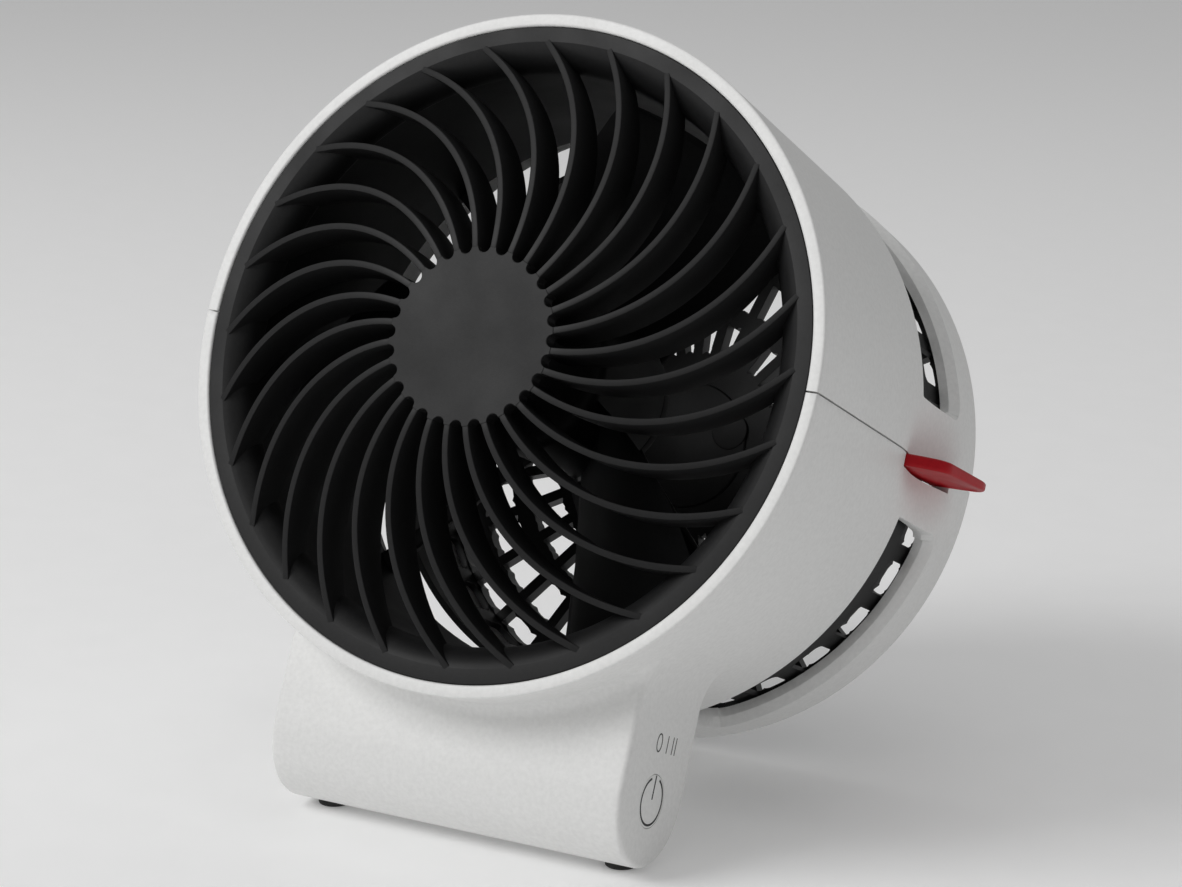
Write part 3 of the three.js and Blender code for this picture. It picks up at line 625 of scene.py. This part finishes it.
key_face = rounded([(0, BASE["half"] - KEY["long"]), (0, BASE["half"]), (KEY["radius"], BASE["half"]),
                    (KEY["radius"], BASE["half"] - KEY["long"])], [0, 0, 0.12, 0])
key_angles = np.linspace(0, 2 * np.pi, KEY["steps"] + 1)[:-1, None]
key_points = np.stack([np.broadcast_to(key_face[None, :, 1], (KEY["steps"], len(key_face))),
                       KEY["y"] + key_face[None, :, 0] * np.cos(key_angles),
                       KEY["z"] + key_face[None, :, 0] * np.sin(key_angles)], -1)
key_points = np.concatenate([key_points, key_points[:, :1]], 1)
piece("power_key_cap", [sheet_of(key_points, wrap=True)], "key", ["power_button"], WHITE)
piece("power_mark", [
    ribbon(arc(KEY["y"], KEY["z"], POWER["radius"], POWER["radius"], POWER["start"], POWER["end"], 96)),
    ribbon([(KEY["y"], KEY["z"] + high) for high in POWER["stroke_heights"]]),
], "key", [], INK)
speed_ring = arc(KEY["y"] + SPEED["ring_y"], SPEED["z"], SPEED["ring_half"], SPEED["half"], 0, 360, 49)[:-1]
speed_heights = (-SPEED["half"], 0, SPEED["half"])
piece("speed_marks", [
    ribbon(speed_ring, SPEED["stroke"], closed=True),
    *[ribbon([(KEY["y"] + along, SPEED["z"] + high) for high in speed_heights], SPEED["stroke"])
      for along in SPEED["strokes_y"]],
], "root", [], INK)

# %% [markdown]
# ## Front grille
# Three shapes make the grille: a flat ring with a rounded mouth inside it, a hub disc that stands forward,
# and curved fins from one to the other. A fin's line in the ring's plane turns faster the further out it
# gets, and its front edge follows a dome. The hub's edge has a round pocket between each two fins.

# %% Grille dimensions
GRILLE = {"inner": 68.7, "outer": 72.05, "face": 0.35, "hub": 18.2, "hub_face": -12.5, "hub_thick": 3.6,
          "back": 7.4, "outer_back": 71.6, "inner_back": 63.4, "mouth_narrows": 5.4, "mouth_deep": 6.8,
          "mouth_starts": 15}
FIN = {"count": 28, "thick": 1.4, "sweep": 32.0, "curve": 1.4, "dome": 1.5, "tip": -9.25, "depth": 11.5,
       "shallower": 4.8, "under": 1.6, "dip": 0.25}
FIN_SECTION = [(-0.5, 1.0, 0), (-0.5, 0, 0.12), (-0.46, 0, 0.03), (-0.38, 0, 0), (0.38, 0, 0),
               (0.46, 0, 0.03), (0.5, 0, 0.12), (0.5, 1.0, 0)]
HUB_EDGE = [(1, -0.2, 0), (1, -0.06, 0.05), (1, 0, 0.2)]


def way_out(radius):
    """0 at the hub's edge and 1 at the ring's, in proportion to the radius."""
    return np.clip((radius - GRILLE["hub"]) / (GRILLE["inner"] - GRILLE["hub"]), 0, 1)


def dome(radius):
    """The front edge's depth: from the hub's face back to the ring's, as a power of the way out."""
    return GRILLE["hub_face"] + (GRILLE["face"] - GRILLE["hub_face"]) * way_out(radius) ** FIN["dome"]


def fin_degrees(radius, index):
    """The fin's angle at a radius: the tip's, less a sweep that fades as a power of the way out."""
    return FIN["tip"] + index * 360 / FIN["count"] + FIN["sweep"] * (way_out(radius) ** FIN["curve"] - 1)


def fin(index):
    """A flat-fronted section carried along the fin's line; it dips a little where it runs under the hub.

    FIN_SECTION holds shares of the thickness and of the depth, and a small shift for the round edge.
    """
    radius = np.linspace(GRILLE["hub"] - 1.5, GRILLE["inner"] + 0.1, 36)
    under_hub = FIN["dip"] * np.clip((GRILLE["hub"] + FIN["under"] - radius) / FIN["under"], 0, 1)
    line = polar(radius, fin_degrees(radius, index), dome(radius) + under_hub)
    ahead = np.gradient(line[:, [0, 2]], axis=0)
    ahead /= np.linalg.norm(ahead, axis=1, keepdims=True)
    normal = np.stack([-ahead[:, 1], 0 * ahead[:, 0], ahead[:, 0]], 1)
    depth = FIN["depth"] - FIN["shallower"] * way_out(radius) ** 3
    loops = np.stack([line + normal * FIN["thick"] * across +
                      np.array([0, 1, 0]) * (depth * down + shift)[:, None]
                      for across, down, shift in FIN_SECTION], 1)
    return stack(list(loops))


def scalloped_hub():
    """A disc whose radius grows by a quarter circle on each side of the pocket between two fins."""
    per_fin = 16
    degrees = np.arange(FIN["count"] * per_fin) * 360 / (FIN["count"] * per_fin)
    pitch = 360 / FIN["count"]
    from_fin = (degrees - fin_degrees(GRILLE["hub"], 0) + pitch / 2) % pitch - pitch / 2
    pocket = (pitch / 2 - np.abs(from_fin)) * math.radians(1) * GRILLE["hub"]
    half = pitch / 2 * math.radians(1) * GRILLE["hub"] - FIN["thick"] / 2
    edge = GRILLE["hub"] + half - np.sqrt(np.clip(half ** 2 - pocket ** 2, 0, None))
    front, thick = GRILLE["hub_face"], GRILLE["hub_thick"]
    profile = [(0, 0, 0), *HUB_EDGE, (1, 0, thick), (0, 0, thick)]
    points = np.stack([polar(edge * scale + inset, degrees, front + behind)
                       for scale, inset, behind in profile + profile[:1]], 1)
    return sheet_of(points, wrap=True)


mouth = np.radians(np.linspace(GRILLE["mouth_starts"], 90, 12))
narrowing = (np.sin(mouth) - math.sin(mouth[0])) / (1 - math.sin(mouth[0]))
deepening = 1 - np.cos(mouth) / math.cos(mouth[0])
mouth_points = np.stack([GRILLE["inner"] - GRILLE["mouth_narrows"] * narrowing,
                         GRILLE["face"] + GRILLE["mouth_deep"] * deepening], 1)
ring_face = rounded([(GRILLE["inner"], GRILLE["face"]), (GRILLE["outer"], GRILLE["face"]),
                     (GRILLE["outer_back"], GRILLE["back"]), (GRILLE["inner_back"], GRILLE["back"])],
                    [0, 0.2, 0.3, 0])
for name, parts, sharp in (
    ("grille_ring", [turned(np.concatenate([mouth_points[:0:-1], ring_face]), 192)], 12),
    ("grille_fins", [fin(index) for index in range(FIN["count"])], 50),
    ("grille_hub", [scalloped_hub()], 5),
):
    piece(name, parts, "root", ["front_grille"], BLACK, sharp=sharp)

# %% [markdown]
# ## Duct and motor mount
# Behind the grille's rounded mouth a plain duct just clears the blades. Four struts behind the impeller
# carry a plate and a tube, and the motor sits on that tube.

# %% Duct and motor mount
DUCT = {"inner": 63.5, "front": 7.5, "back": 53.0, "wall": 1.8, "lip": 69.8, "throat": 15.0}
duct_outer = DUCT["inner"] + DUCT["wall"]
duct_profile = rounded([(DUCT["inner"], DUCT["front"]), (DUCT["lip"], DUCT["front"]),
                        (duct_outer, DUCT["throat"]), (duct_outer, DUCT["back"]),
                        (DUCT["inner"], DUCT["back"])], [0, 0.4, 2.0, 0.5, 0.5])
piece("duct_wall", [turned(duct_profile, 160)], "root", ["air_duct"], INNER, sharp=40)

STRUT = {"front": 50.0, "back": 53.4, "half_front": 2.0, "half_back": 1.4, "round": 0.8, "widens": 0.5}
MOUNT = {"plate": 17.0, "front": 50.0, "back": 53.0, "tube": 4.8, "bore": 3.6, "tube_front": 24.0}
mount_profile = rounded([(MOUNT["bore"], MOUNT["tube_front"]), (MOUNT["tube"], MOUNT["tube_front"]),
                         (MOUNT["tube"], MOUNT["front"]), (MOUNT["plate"], MOUNT["front"]),
                         (MOUNT["plate"], MOUNT["back"]), (MOUNT["bore"], MOUNT["back"])],
                        [0.2, 0.3, 1.0, 0.4, 0.6, 0.2])


def strut(degrees):
    """A bar with round edges from the plate out to the duct's wall, widening towards both of its ends."""
    reach = np.linspace(MOUNT["plate"] - 0.6, DUCT["inner"] + 0.4, 14)
    outline = rounded([(-STRUT["half_front"], STRUT["front"]), (STRUT["half_front"], STRUT["front"]),
                       (STRUT["half_back"], STRUT["back"]), (-STRUT["half_back"], STRUT["back"])],
                      STRUT["round"])
    direction = np.array([math.cos(math.radians(degrees)), 0, math.sin(math.radians(degrees))])
    across = np.array([-direction[2], 0, direction[0]])
    widen = 1 + STRUT["widens"] * (2 * (reach - reach.mean()) / (reach[-1] - reach[0])) ** 4
    return stack([r * direction + outline[:, :1] * across * w + outline[:, 1:] * np.array([0, 1, 0])
                  for r, w in zip(reach, widen)])


piece("motor_mount", [turned(mount_profile, 72)] + [strut(45 + 90 * i) for i in range(4)],
      "root", ["air_duct"], INNER)

# %% [markdown]
# ## Impeller
# Three broad blades push the air. Each is a thin wing: at every radius its section follows an arc about the
# axis and runs rearwards at a steady rate, thickest near the middle. The leading edge is swept back by a
# power of the way out, and the trailing edge is straight.

# %% Impeller
HUB = {"radius": 19.0, "front": 13.0, "back": 46.0, "inner": 17.5, "floor": 15.6}
BLADE = {"count": 3, "tip": 61.5, "front": 16.0, "rear": 45.0, "lead": -16.0, "trail": -81.0, "sweep": 22.0,
         "power": 0.75, "thick": 2.0, "thins": 0.4, "sunk": 0.8, "corner_from": 0.94, "corner_degrees": 2.5}


def blade(index):
    """Sections from root to tip, each a closed loop along one side and back along the other.

    The half thickness is a power of a parabola along the chord, and near the tip both corners are drawn in.
    """
    steps = 29
    chord = np.concatenate([np.linspace(0, 1, steps), np.linspace(1, 0, steps)[1:-1]])
    upper = np.where(np.arange(len(chord)) < steps, 1, -1)
    loops = []
    for u in 1 - np.linspace(1, 0, 26) ** 1.5:
        root = HUB["radius"] - BLADE["sunk"]
        radius = root + (BLADE["tip"] - root) * u
        lead = BLADE["lead"] - BLADE["sweep"] * u ** BLADE["power"]
        near_tip = min(max((u - BLADE["corner_from"]) / (1 - BLADE["corner_from"]), 0), 1)
        corner = BLADE["corner_degrees"] * (1 - math.sqrt(1 - near_tip ** 2))
        degrees = index * 360 / BLADE["count"] + lead - corner + (BLADE["trail"] - lead + 2 * corner) * chord
        wing = BLADE["thick"] / 2 * (1 - BLADE["thins"] * u) * np.clip(4 * chord * (1 - chord), 0, 1) ** 0.4
        depth = BLADE["front"] + (BLADE["rear"] - BLADE["front"]) * chord
        loops.append(polar(radius, degrees, depth + upper * wing))
    return stack(loops)


hub_profile = rounded([(0, HUB["front"]), (HUB["radius"], HUB["front"]), (HUB["radius"], HUB["back"]),
                       (HUB["inner"], HUB["back"]), (HUB["inner"], HUB["floor"]), (0, HUB["floor"])],
                      [0, 3.0, 0.4, 0.4, 0.6, 0], steps=6)
piece("impeller_skin", [turned(hub_profile, 96)] + [blade(i) for i in range(BLADE["count"])],
      "rotor", ["impeller"], INNER, sharp=50)

# %% [markdown]
# ## Rear guard
# The guard across the tail is one flat moulding of rings and spokes. It is a windowed sheet wrapped into a
# disc: the grid's rows are angles, its columns are radii, and every window has rounded corners. The spokes
# keep one width all the way, so a window's angle is the pitch less the spoke's width at that radius. A
# skirt runs forward from the guard's edge, and it has one window between every two spokes as well. A disc
# covers the middle.

# %% Rear guard
GUARD = {"front": 102.0, "back": 106.0, "spokes": 32, "bar": 2.5, "step": 2.5,
         "edges": (15.0, 65.9), "bands": ((22.6, 31.2), (35.0, 43.8), (47.8, 56.2), (59.9, 64.2))}
SKIRT = {"inner": 64.4, "outer": 65.9, "front": 74.0, "back": 102.2, "low": 89.5, "high": 101.0, "bar": 4.3}
GUARD_CORNER = {-1: 1.9, 1: 1.9}
GUARD_FADE = 0.8
BOSS = {"radius": 15.6, "proud": 0.6}
SMALL_BOSS = {"radius": 4.6, "front": 101.2, "back": 102.4, "centre": (10.7, 4.7)}
PITCH = 360 / GUARD["spokes"]


def across_windows(low, high):
    """Grid lines from one side of a window to the other, closer together at its corners."""
    return spread(low, high, GUARD_CORNER[1], GUARD["step"], 4)


def rear_guard():
    """Angles and radii on a grid, with a window in every band between every two spokes."""
    lines = spread(-1, 1, 0.4, 0.3, 4)
    per_cell = len(lines) + 1
    radii, spans = [np.array([GUARD["edges"][0]])], []
    for band in GUARD["bands"]:
        radii.append(across_windows(*band))
        stop = sum(len(part) for part in radii) - 1
        spans.append((stop - len(radii[-1]) + 1, stop))
    radii = np.concatenate(radii + [np.array([GUARD["edges"][1]])])
    t = np.broadcast_to(radii, (per_cell * GUARD["spokes"], len(radii))).copy()
    s = np.empty_like(t)
    holes = []
    for cell in range(GUARD["spokes"]):
        rows = slice(cell * per_cell, cell * per_cell + len(lines))
        opening = PITCH / 2 - np.degrees(GUARD["bar"] / 2 / radii)
        s[rows] = cell * PITCH + lines[:, None] * opening[None, :]
        s[rows.stop] = (cell + 0.5) * PITCH
        for (low, high), span in zip(GUARD["bands"], spans):
            middle = (low + high) / 2
            half = PITCH / 2 - math.degrees(GUARD["bar"] / middle)
            window = (cell * PITCH - half, cell * PITCH + half, low, high)
            s[rows], t[rows] = pull_corners(s[rows], t[rows], window, GUARD_CORNER, GUARD_FADE,
                                            math.radians(1) * middle)
            holes.append((rows.start, rows.stop - 1, *span))
    return windowed([polar(t, s, GUARD["back"]), polar(t, s, GUARD["front"])], holes, wrap=True)


def guard_skirt():
    """A short tube with a window between every two spokes: rows are angles, columns are depths."""
    opening = PITCH / 2 - math.degrees(SKIRT["bar"] / 2 / SKIRT["outer"])
    lines = spread(-opening, opening, 1.5, 1.5, 4)
    rows = np.concatenate([[cell * PITCH + line for line in (*lines, PITCH / 2)]
                           for cell in range(GUARD["spokes"])])
    depths = np.concatenate([[SKIRT["front"]], across_windows(SKIRT["low"], SKIRT["high"]), [SKIRT["back"]]])
    s, t = np.meshgrid(rows, depths, indexing="ij")
    holes = []
    for cell in range(GUARD["spokes"]):
        first = cell * (len(lines) + 1)
        here = slice(first, first + len(lines))
        window = (cell * PITCH - opening, cell * PITCH + opening, SKIRT["low"], SKIRT["high"])
        s[here], t[here] = pull_corners(s[here], t[here], window, GUARD_CORNER, GUARD_FADE,
                                        math.radians(1) * SKIRT["outer"])
        holes.append((first, first + len(lines) - 1, 1, len(depths) - 2))
    return windowed([polar(SKIRT["outer"], s, t), polar(SKIRT["inner"], s, t)], holes, wrap=True)


def disc(radius, front, back, radii):
    """The closed profile of a plain disc, with its outer corners rounded."""
    return rounded([(0, front), (radius, front), (radius, back), (0, back)], radii)


boss = disc(BOSS["radius"], GUARD["front"] - BOSS["proud"], GUARD["back"] + BOSS["proud"], [0, 0.6, 0.6, 0])
small_boss = disc(SMALL_BOSS["radius"], SMALL_BOSS["front"], SMALL_BOSS["back"], [0, 0.3, 0, 0])
discs = [turned(boss, 72), turned(small_boss, 48, SMALL_BOSS["centre"])]
piece("rear_guard", [rear_guard(), guard_skirt(), *discs], "root", ["rear_grille"], BLACK,
      bevel=0.35)

# %% [markdown]
# ## Release tab
# The tab is a flat red plate with soft edges that slides out of the lower shell's edge. It is a stack of
# loops: one outline, drawn in a little at the top and bottom where the edge is rounded. The underside has a
# shallow panel inside a raised border, and it rises towards the rear, so the plate thins. The shell is cut
# away round the tab, which leaves a dark hairline.

# %% Release tab
TAB = {"top": -0.25, "bottom": -3.0, "round": 0.7, "border": 1.5, "recess": 0.25, "slope": 0.3,
       "thinning": 0.9, "thins_from": 64.0, "thins_over": 30.0}
POCKET = {"front": 62.35, "back": 96.25, "low": -3.3, "high": 1.0, "from": 60.0, "to": 79.0}
tab_outline = rounded([(66.0, 62.6), (73.5, 62.6), (80.8, 65.6), (81.5, 90.5), (79.0, 96.0), (66.0, 96.0)],
                      [0.2, 3.0, 3.5, 4.0, 3.5, 0.2], steps=8)


def drawn_in(outline, amount):
    """The outline moved inwards by an amount along its normals."""
    ahead = np.roll(outline, -1, 0) - np.roll(outline, 1, 0)
    ahead /= np.maximum(np.linalg.norm(ahead, axis=1, keepdims=True), TINY)
    return outline + amount * np.stack([-ahead[:, 1], ahead[:, 0]], 1)


def tab_loops():
    """Top edge round a quarter circle, straight side, bottom edge, border and recessed panel."""
    quarter = np.linspace(0, np.pi / 2, 5)
    bend = [(TAB["round"] * (1 - math.cos(angle)), TAB["round"] * (1 - math.sin(angle))) for angle in quarter]
    loops = [(inset, TAB["top"] - drop) for inset, drop in bend[::-1]]
    loops += [(inset, TAB["bottom"] + rise) for inset, rise in bend]
    loops += [(TAB["border"], TAB["bottom"]), (TAB["border"] + TAB["slope"], TAB["bottom"] + TAB["recess"])]
    rear = np.clip((tab_outline[:, 1] - TAB["thins_from"]) / TAB["thins_over"], 0, 1)
    under = [(TAB["top"] - z) / (TAB["top"] - TAB["bottom"]) for _, z in loops]
    return [np.column_stack([drawn_in(tab_outline, inset), z + TAB["thinning"] * share * rear])
            for (inset, z), share in zip(loops, under)]


piece("release_tab_skin", [stack(tab_loops())], "tab", ["release_tab"], RED)
cut(shells["lower_shell"], [box_part(POCKET["from"], POCKET["to"], POCKET["front"], POCKET["back"],
                                     POCKET["low"], POCKET["high"])])
shells["lower_shell"].data.set_sharp_from_angle(angle=math.radians(SHELL_SHARP))

# %% [markdown]
# ## Hinge
# On the left a barrel hinge joins the shells. A barrel is a turned bar with round ends, and a small box
# ties it to its shell. The middle knuckle rides on the lid, the outer two stay with the lower shell, and
# each is narrower than its place by a hair, so they pass each other when the lid opens.

# %% Hinge knuckles
HINGE = {"x": -75.6, "radius": 2.6, "reach": -71.2, "web_inset": 0.4, "web_near": 0.3, "web_far": 2.5}
LOWER_BARRELS = ((64.0, 72.0), (86.0, 94.0))
UPPER_BARREL = (72.3, 85.7)


def knuckle(front, back, side):
    """A barrel with rounded ends, and the web that ties it to its shell: side is 1 above, -1 below."""
    barrel = disc(HINGE["radius"], front, back, [0, 0.5, 0.5, 0])
    heights = sorted([side * HINGE["web_near"], side * HINGE["web_far"]])
    inset = HINGE["web_inset"]
    web = box_part(HINGE["x"], HINGE["reach"], front + inset, back - inset, *heights)
    return [turned(barrel, 40, (HINGE["x"], 0)), web]


piece("lower_knuckles", [part for barrel in LOWER_BARRELS for part in knuckle(*barrel, -1)], "root",
      ["lower_shell"], WHITE)
piece("upper_knuckle", knuckle(*UPPER_BARREL, 1), "lid", ["upper_shell"], WHITE)

# %% [markdown]
# ## Back cover and its screws
# A flat cover fills the window in the foot's back. It is a box with bevelled edges, because a Bevel
# modifier rounds a plain box better than a grid would. A mouth for the power inlet is cut through it, and
# each screw's head is a turned disc with two cuts that cross.

# %% Back cover and its screws
COVER = {"half": 35.7, "front": 42.6, "back": 45.1, "low": -87.7, "high": -78.8}
INLET = {"x": -18.0, "half": 4.3, "low": -86.4, "high": -82.6}
SCREWS = {"x": 32.0, "z": -83.25, "head": 2.4, "front": 45.15, "high": 1.2, "cross": (1.3, 0.25), "deep": 0.6}
COVER_SHARP = 40
back_cover = piece("back_cover", [box_part(-COVER["half"], COVER["half"], COVER["front"], COVER["back"],
                                           COVER["low"], COVER["high"])],
                   "root", ["base_cover"], WHITE, bevel=0.5)
cut(back_cover, [box_part(INLET["x"] - INLET["half"], INLET["x"] + INLET["half"], COVER["front"] - 1,
                          COVER["back"] + 1, INLET["low"], INLET["high"])])
back_cover.data.set_sharp_from_angle(angle=math.radians(COVER_SHARP))
screw_back = SCREWS["front"] + SCREWS["high"]
screw_head = disc(SCREWS["head"], SCREWS["front"], screw_back, [0, 0.1, 0.5, 0])
for node, x in (("cover_screw_left", -SCREWS["x"]), ("cover_screw_right", SCREWS["x"])):
    made = piece(node + "_head", [turned(screw_head, 40, (x, SCREWS["z"]))], "root", [node],
                 STEEL)
    for wide, tall in (SCREWS["cross"], SCREWS["cross"][::-1]):
        cut(made, [box_part(x - wide, x + wide, screw_back - SCREWS["deep"], screw_back + 1,
                            SCREWS["z"] - tall, SCREWS["z"] + tall)])

# %% [markdown]
# ## Feet
# The three rubber feet stand upright although the drum is tipped. So they are turned about the world's
# vertical, and their points are then taken back to the drum's frame. Each is as wide and as high as the
# solid foot's box.

# %% Feet
FOOT_STEPS = 48


def upright_foot(node, taper):
    """A disc as wide and high as the solid foot's box, its lower edge rounded, turned about the vertical."""
    (x0, y0, z0), (x1, y1, z1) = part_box(node)
    radius, high = (x1 - x0) / 2 / MM, (z1 - z0) / MM
    outline = rounded([(0, 0), (radius * taper, 0), (radius, high), (0, high)], [0, 0.5, 0, 0])
    angles = np.radians(np.arange(FOOT_STEPS + 1) * 360 / FOOT_STEPS)[:, None]
    centre = np.array([(x0 + x1) / 2, (y0 + y1) / 2, z0])
    world = np.stack([outline[:, 0] * np.cos(angles), outline[:, 0] * np.sin(angles),
                      np.broadcast_to(outline[:, 1], (FOOT_STEPS + 1, len(outline)))], -1)
    drum = (centre + world * MM - RIM_CENTRE) @ np.stack([RIGHT, BACK, UP]).T / MM
    piece(node + "_pad", [sheet_of(drum)], "root", [node], RUBBER, sharp=50)


for node, taper in (("foot_left", 0.96), ("foot_right", 0.96), ("foot_rear", 0.85)):
    upright_foot(node, taper)

# %% [markdown]
# ## What shows of the engineering solids
# The motor, the boards, the cable, the hinge pin and the power inlet keep their own solids. Each gets a
# material with its own grain, so that they hold up when the lid is open.

# %% Materials for the solids that stay
KEPT = (
    (STEEL, ("motor_shaft", "rotor_cup", "shaft_clip", "bearing_front", "bearing_rear", "tact_switch",
             "power_inlet", "board_screw_left", "board_screw_right", "hinge_pin")),
    (LAMINATE, ("magnet_ring", "stator_core")),
    (CIRCUIT, ("motor_board", "control_board")),
    (JACKET, ("motor_cable",)),
    (COPPER, [f"coil_{index}" for index in range(1, 7)]),
)
for material, names in KEPT:
    for name in names:
        for place in bpy.data.objects[name].material_slots:
            place.material = material
print("solids with their own material:", sum(len(names) for _, names in KEPT))

# %% [markdown]
# ## Floor and light
# A pale floor and large soft lamps: one high on the left in front, which lights the rim and the foot, a
# weak one on the right, one overhead, and an even pale sky. The right side stays a middle grey, and that
# shows its shape.

# %% Floor and light
FLOOR_HALF = 6.0
FLOOR_GLOW = 0.12
SKY_STRENGTH = 0.3
LAMPS = (("key_light", (-0.9, -1.2, 1.2), 0.9, 16), ("side_light", (1.5, -0.3, 0.7), 1.2, 0.3),
         ("top_light", (0.0, 0.3, 1.8), 1.4, 4))


def area_light(name, place, target, size, watts):
    """A square lamp at a place in metres, turned to face a target."""
    lamp = bpy.data.objects.new(name, bpy.data.lights.new(name, "AREA"))
    lamp.data.energy = watts
    lamp.data.size = size
    lamp.location = place
    aim = np.asarray(target, float) - np.asarray(place, float)
    yaw = math.atan2(-aim[0], aim[1])
    pitch = math.atan2(math.hypot(aim[0], aim[1]), -aim[2])
    lamp.rotation_euler = Euler((pitch, 0, yaw))
    bpy.context.scene.collection.objects.link(lamp)


floor_corners = [(FLOOR_HALF * x, FLOOR_HALF * y, 0) for x, y in ((-1, -1), (1, -1), (1, 1), (-1, 1))]
floor_mesh = bpy.data.meshes.new("floor")
floor_mesh.from_pydata(floor_corners, [], [(0, 1, 2, 3)])
pale = moulded("pale_floor", (0.9, 0.9, 0.9), 0.7, grain_mm=4, relief=0.0, shift=0.01)
set_inputs(pale.node_tree.nodes["Principled BSDF"],
           {"Emission Color": (1, 1, 1, 1), "Emission Strength": FLOOR_GLOW})
floor_mesh.materials.append(pale)
floor = bpy.data.objects.new("floor", floor_mesh)
bpy.context.scene.collection.objects.link(floor)
for name, place, size, watts in LAMPS:
    area_light(name, place, tuple(RIM_CENTRE), size, watts)
world = bpy.data.worlds.new("pale_sky")
world.use_nodes = True
set_inputs(world.node_tree.nodes["Background"], {"Color": (1, 1, 1, 1), "Strength": SKY_STRENGTH})
bpy.context.scene.world = world
bpy.context.scene.view_settings.view_transform = "Standard"
print("lamps:", len(LAMPS))
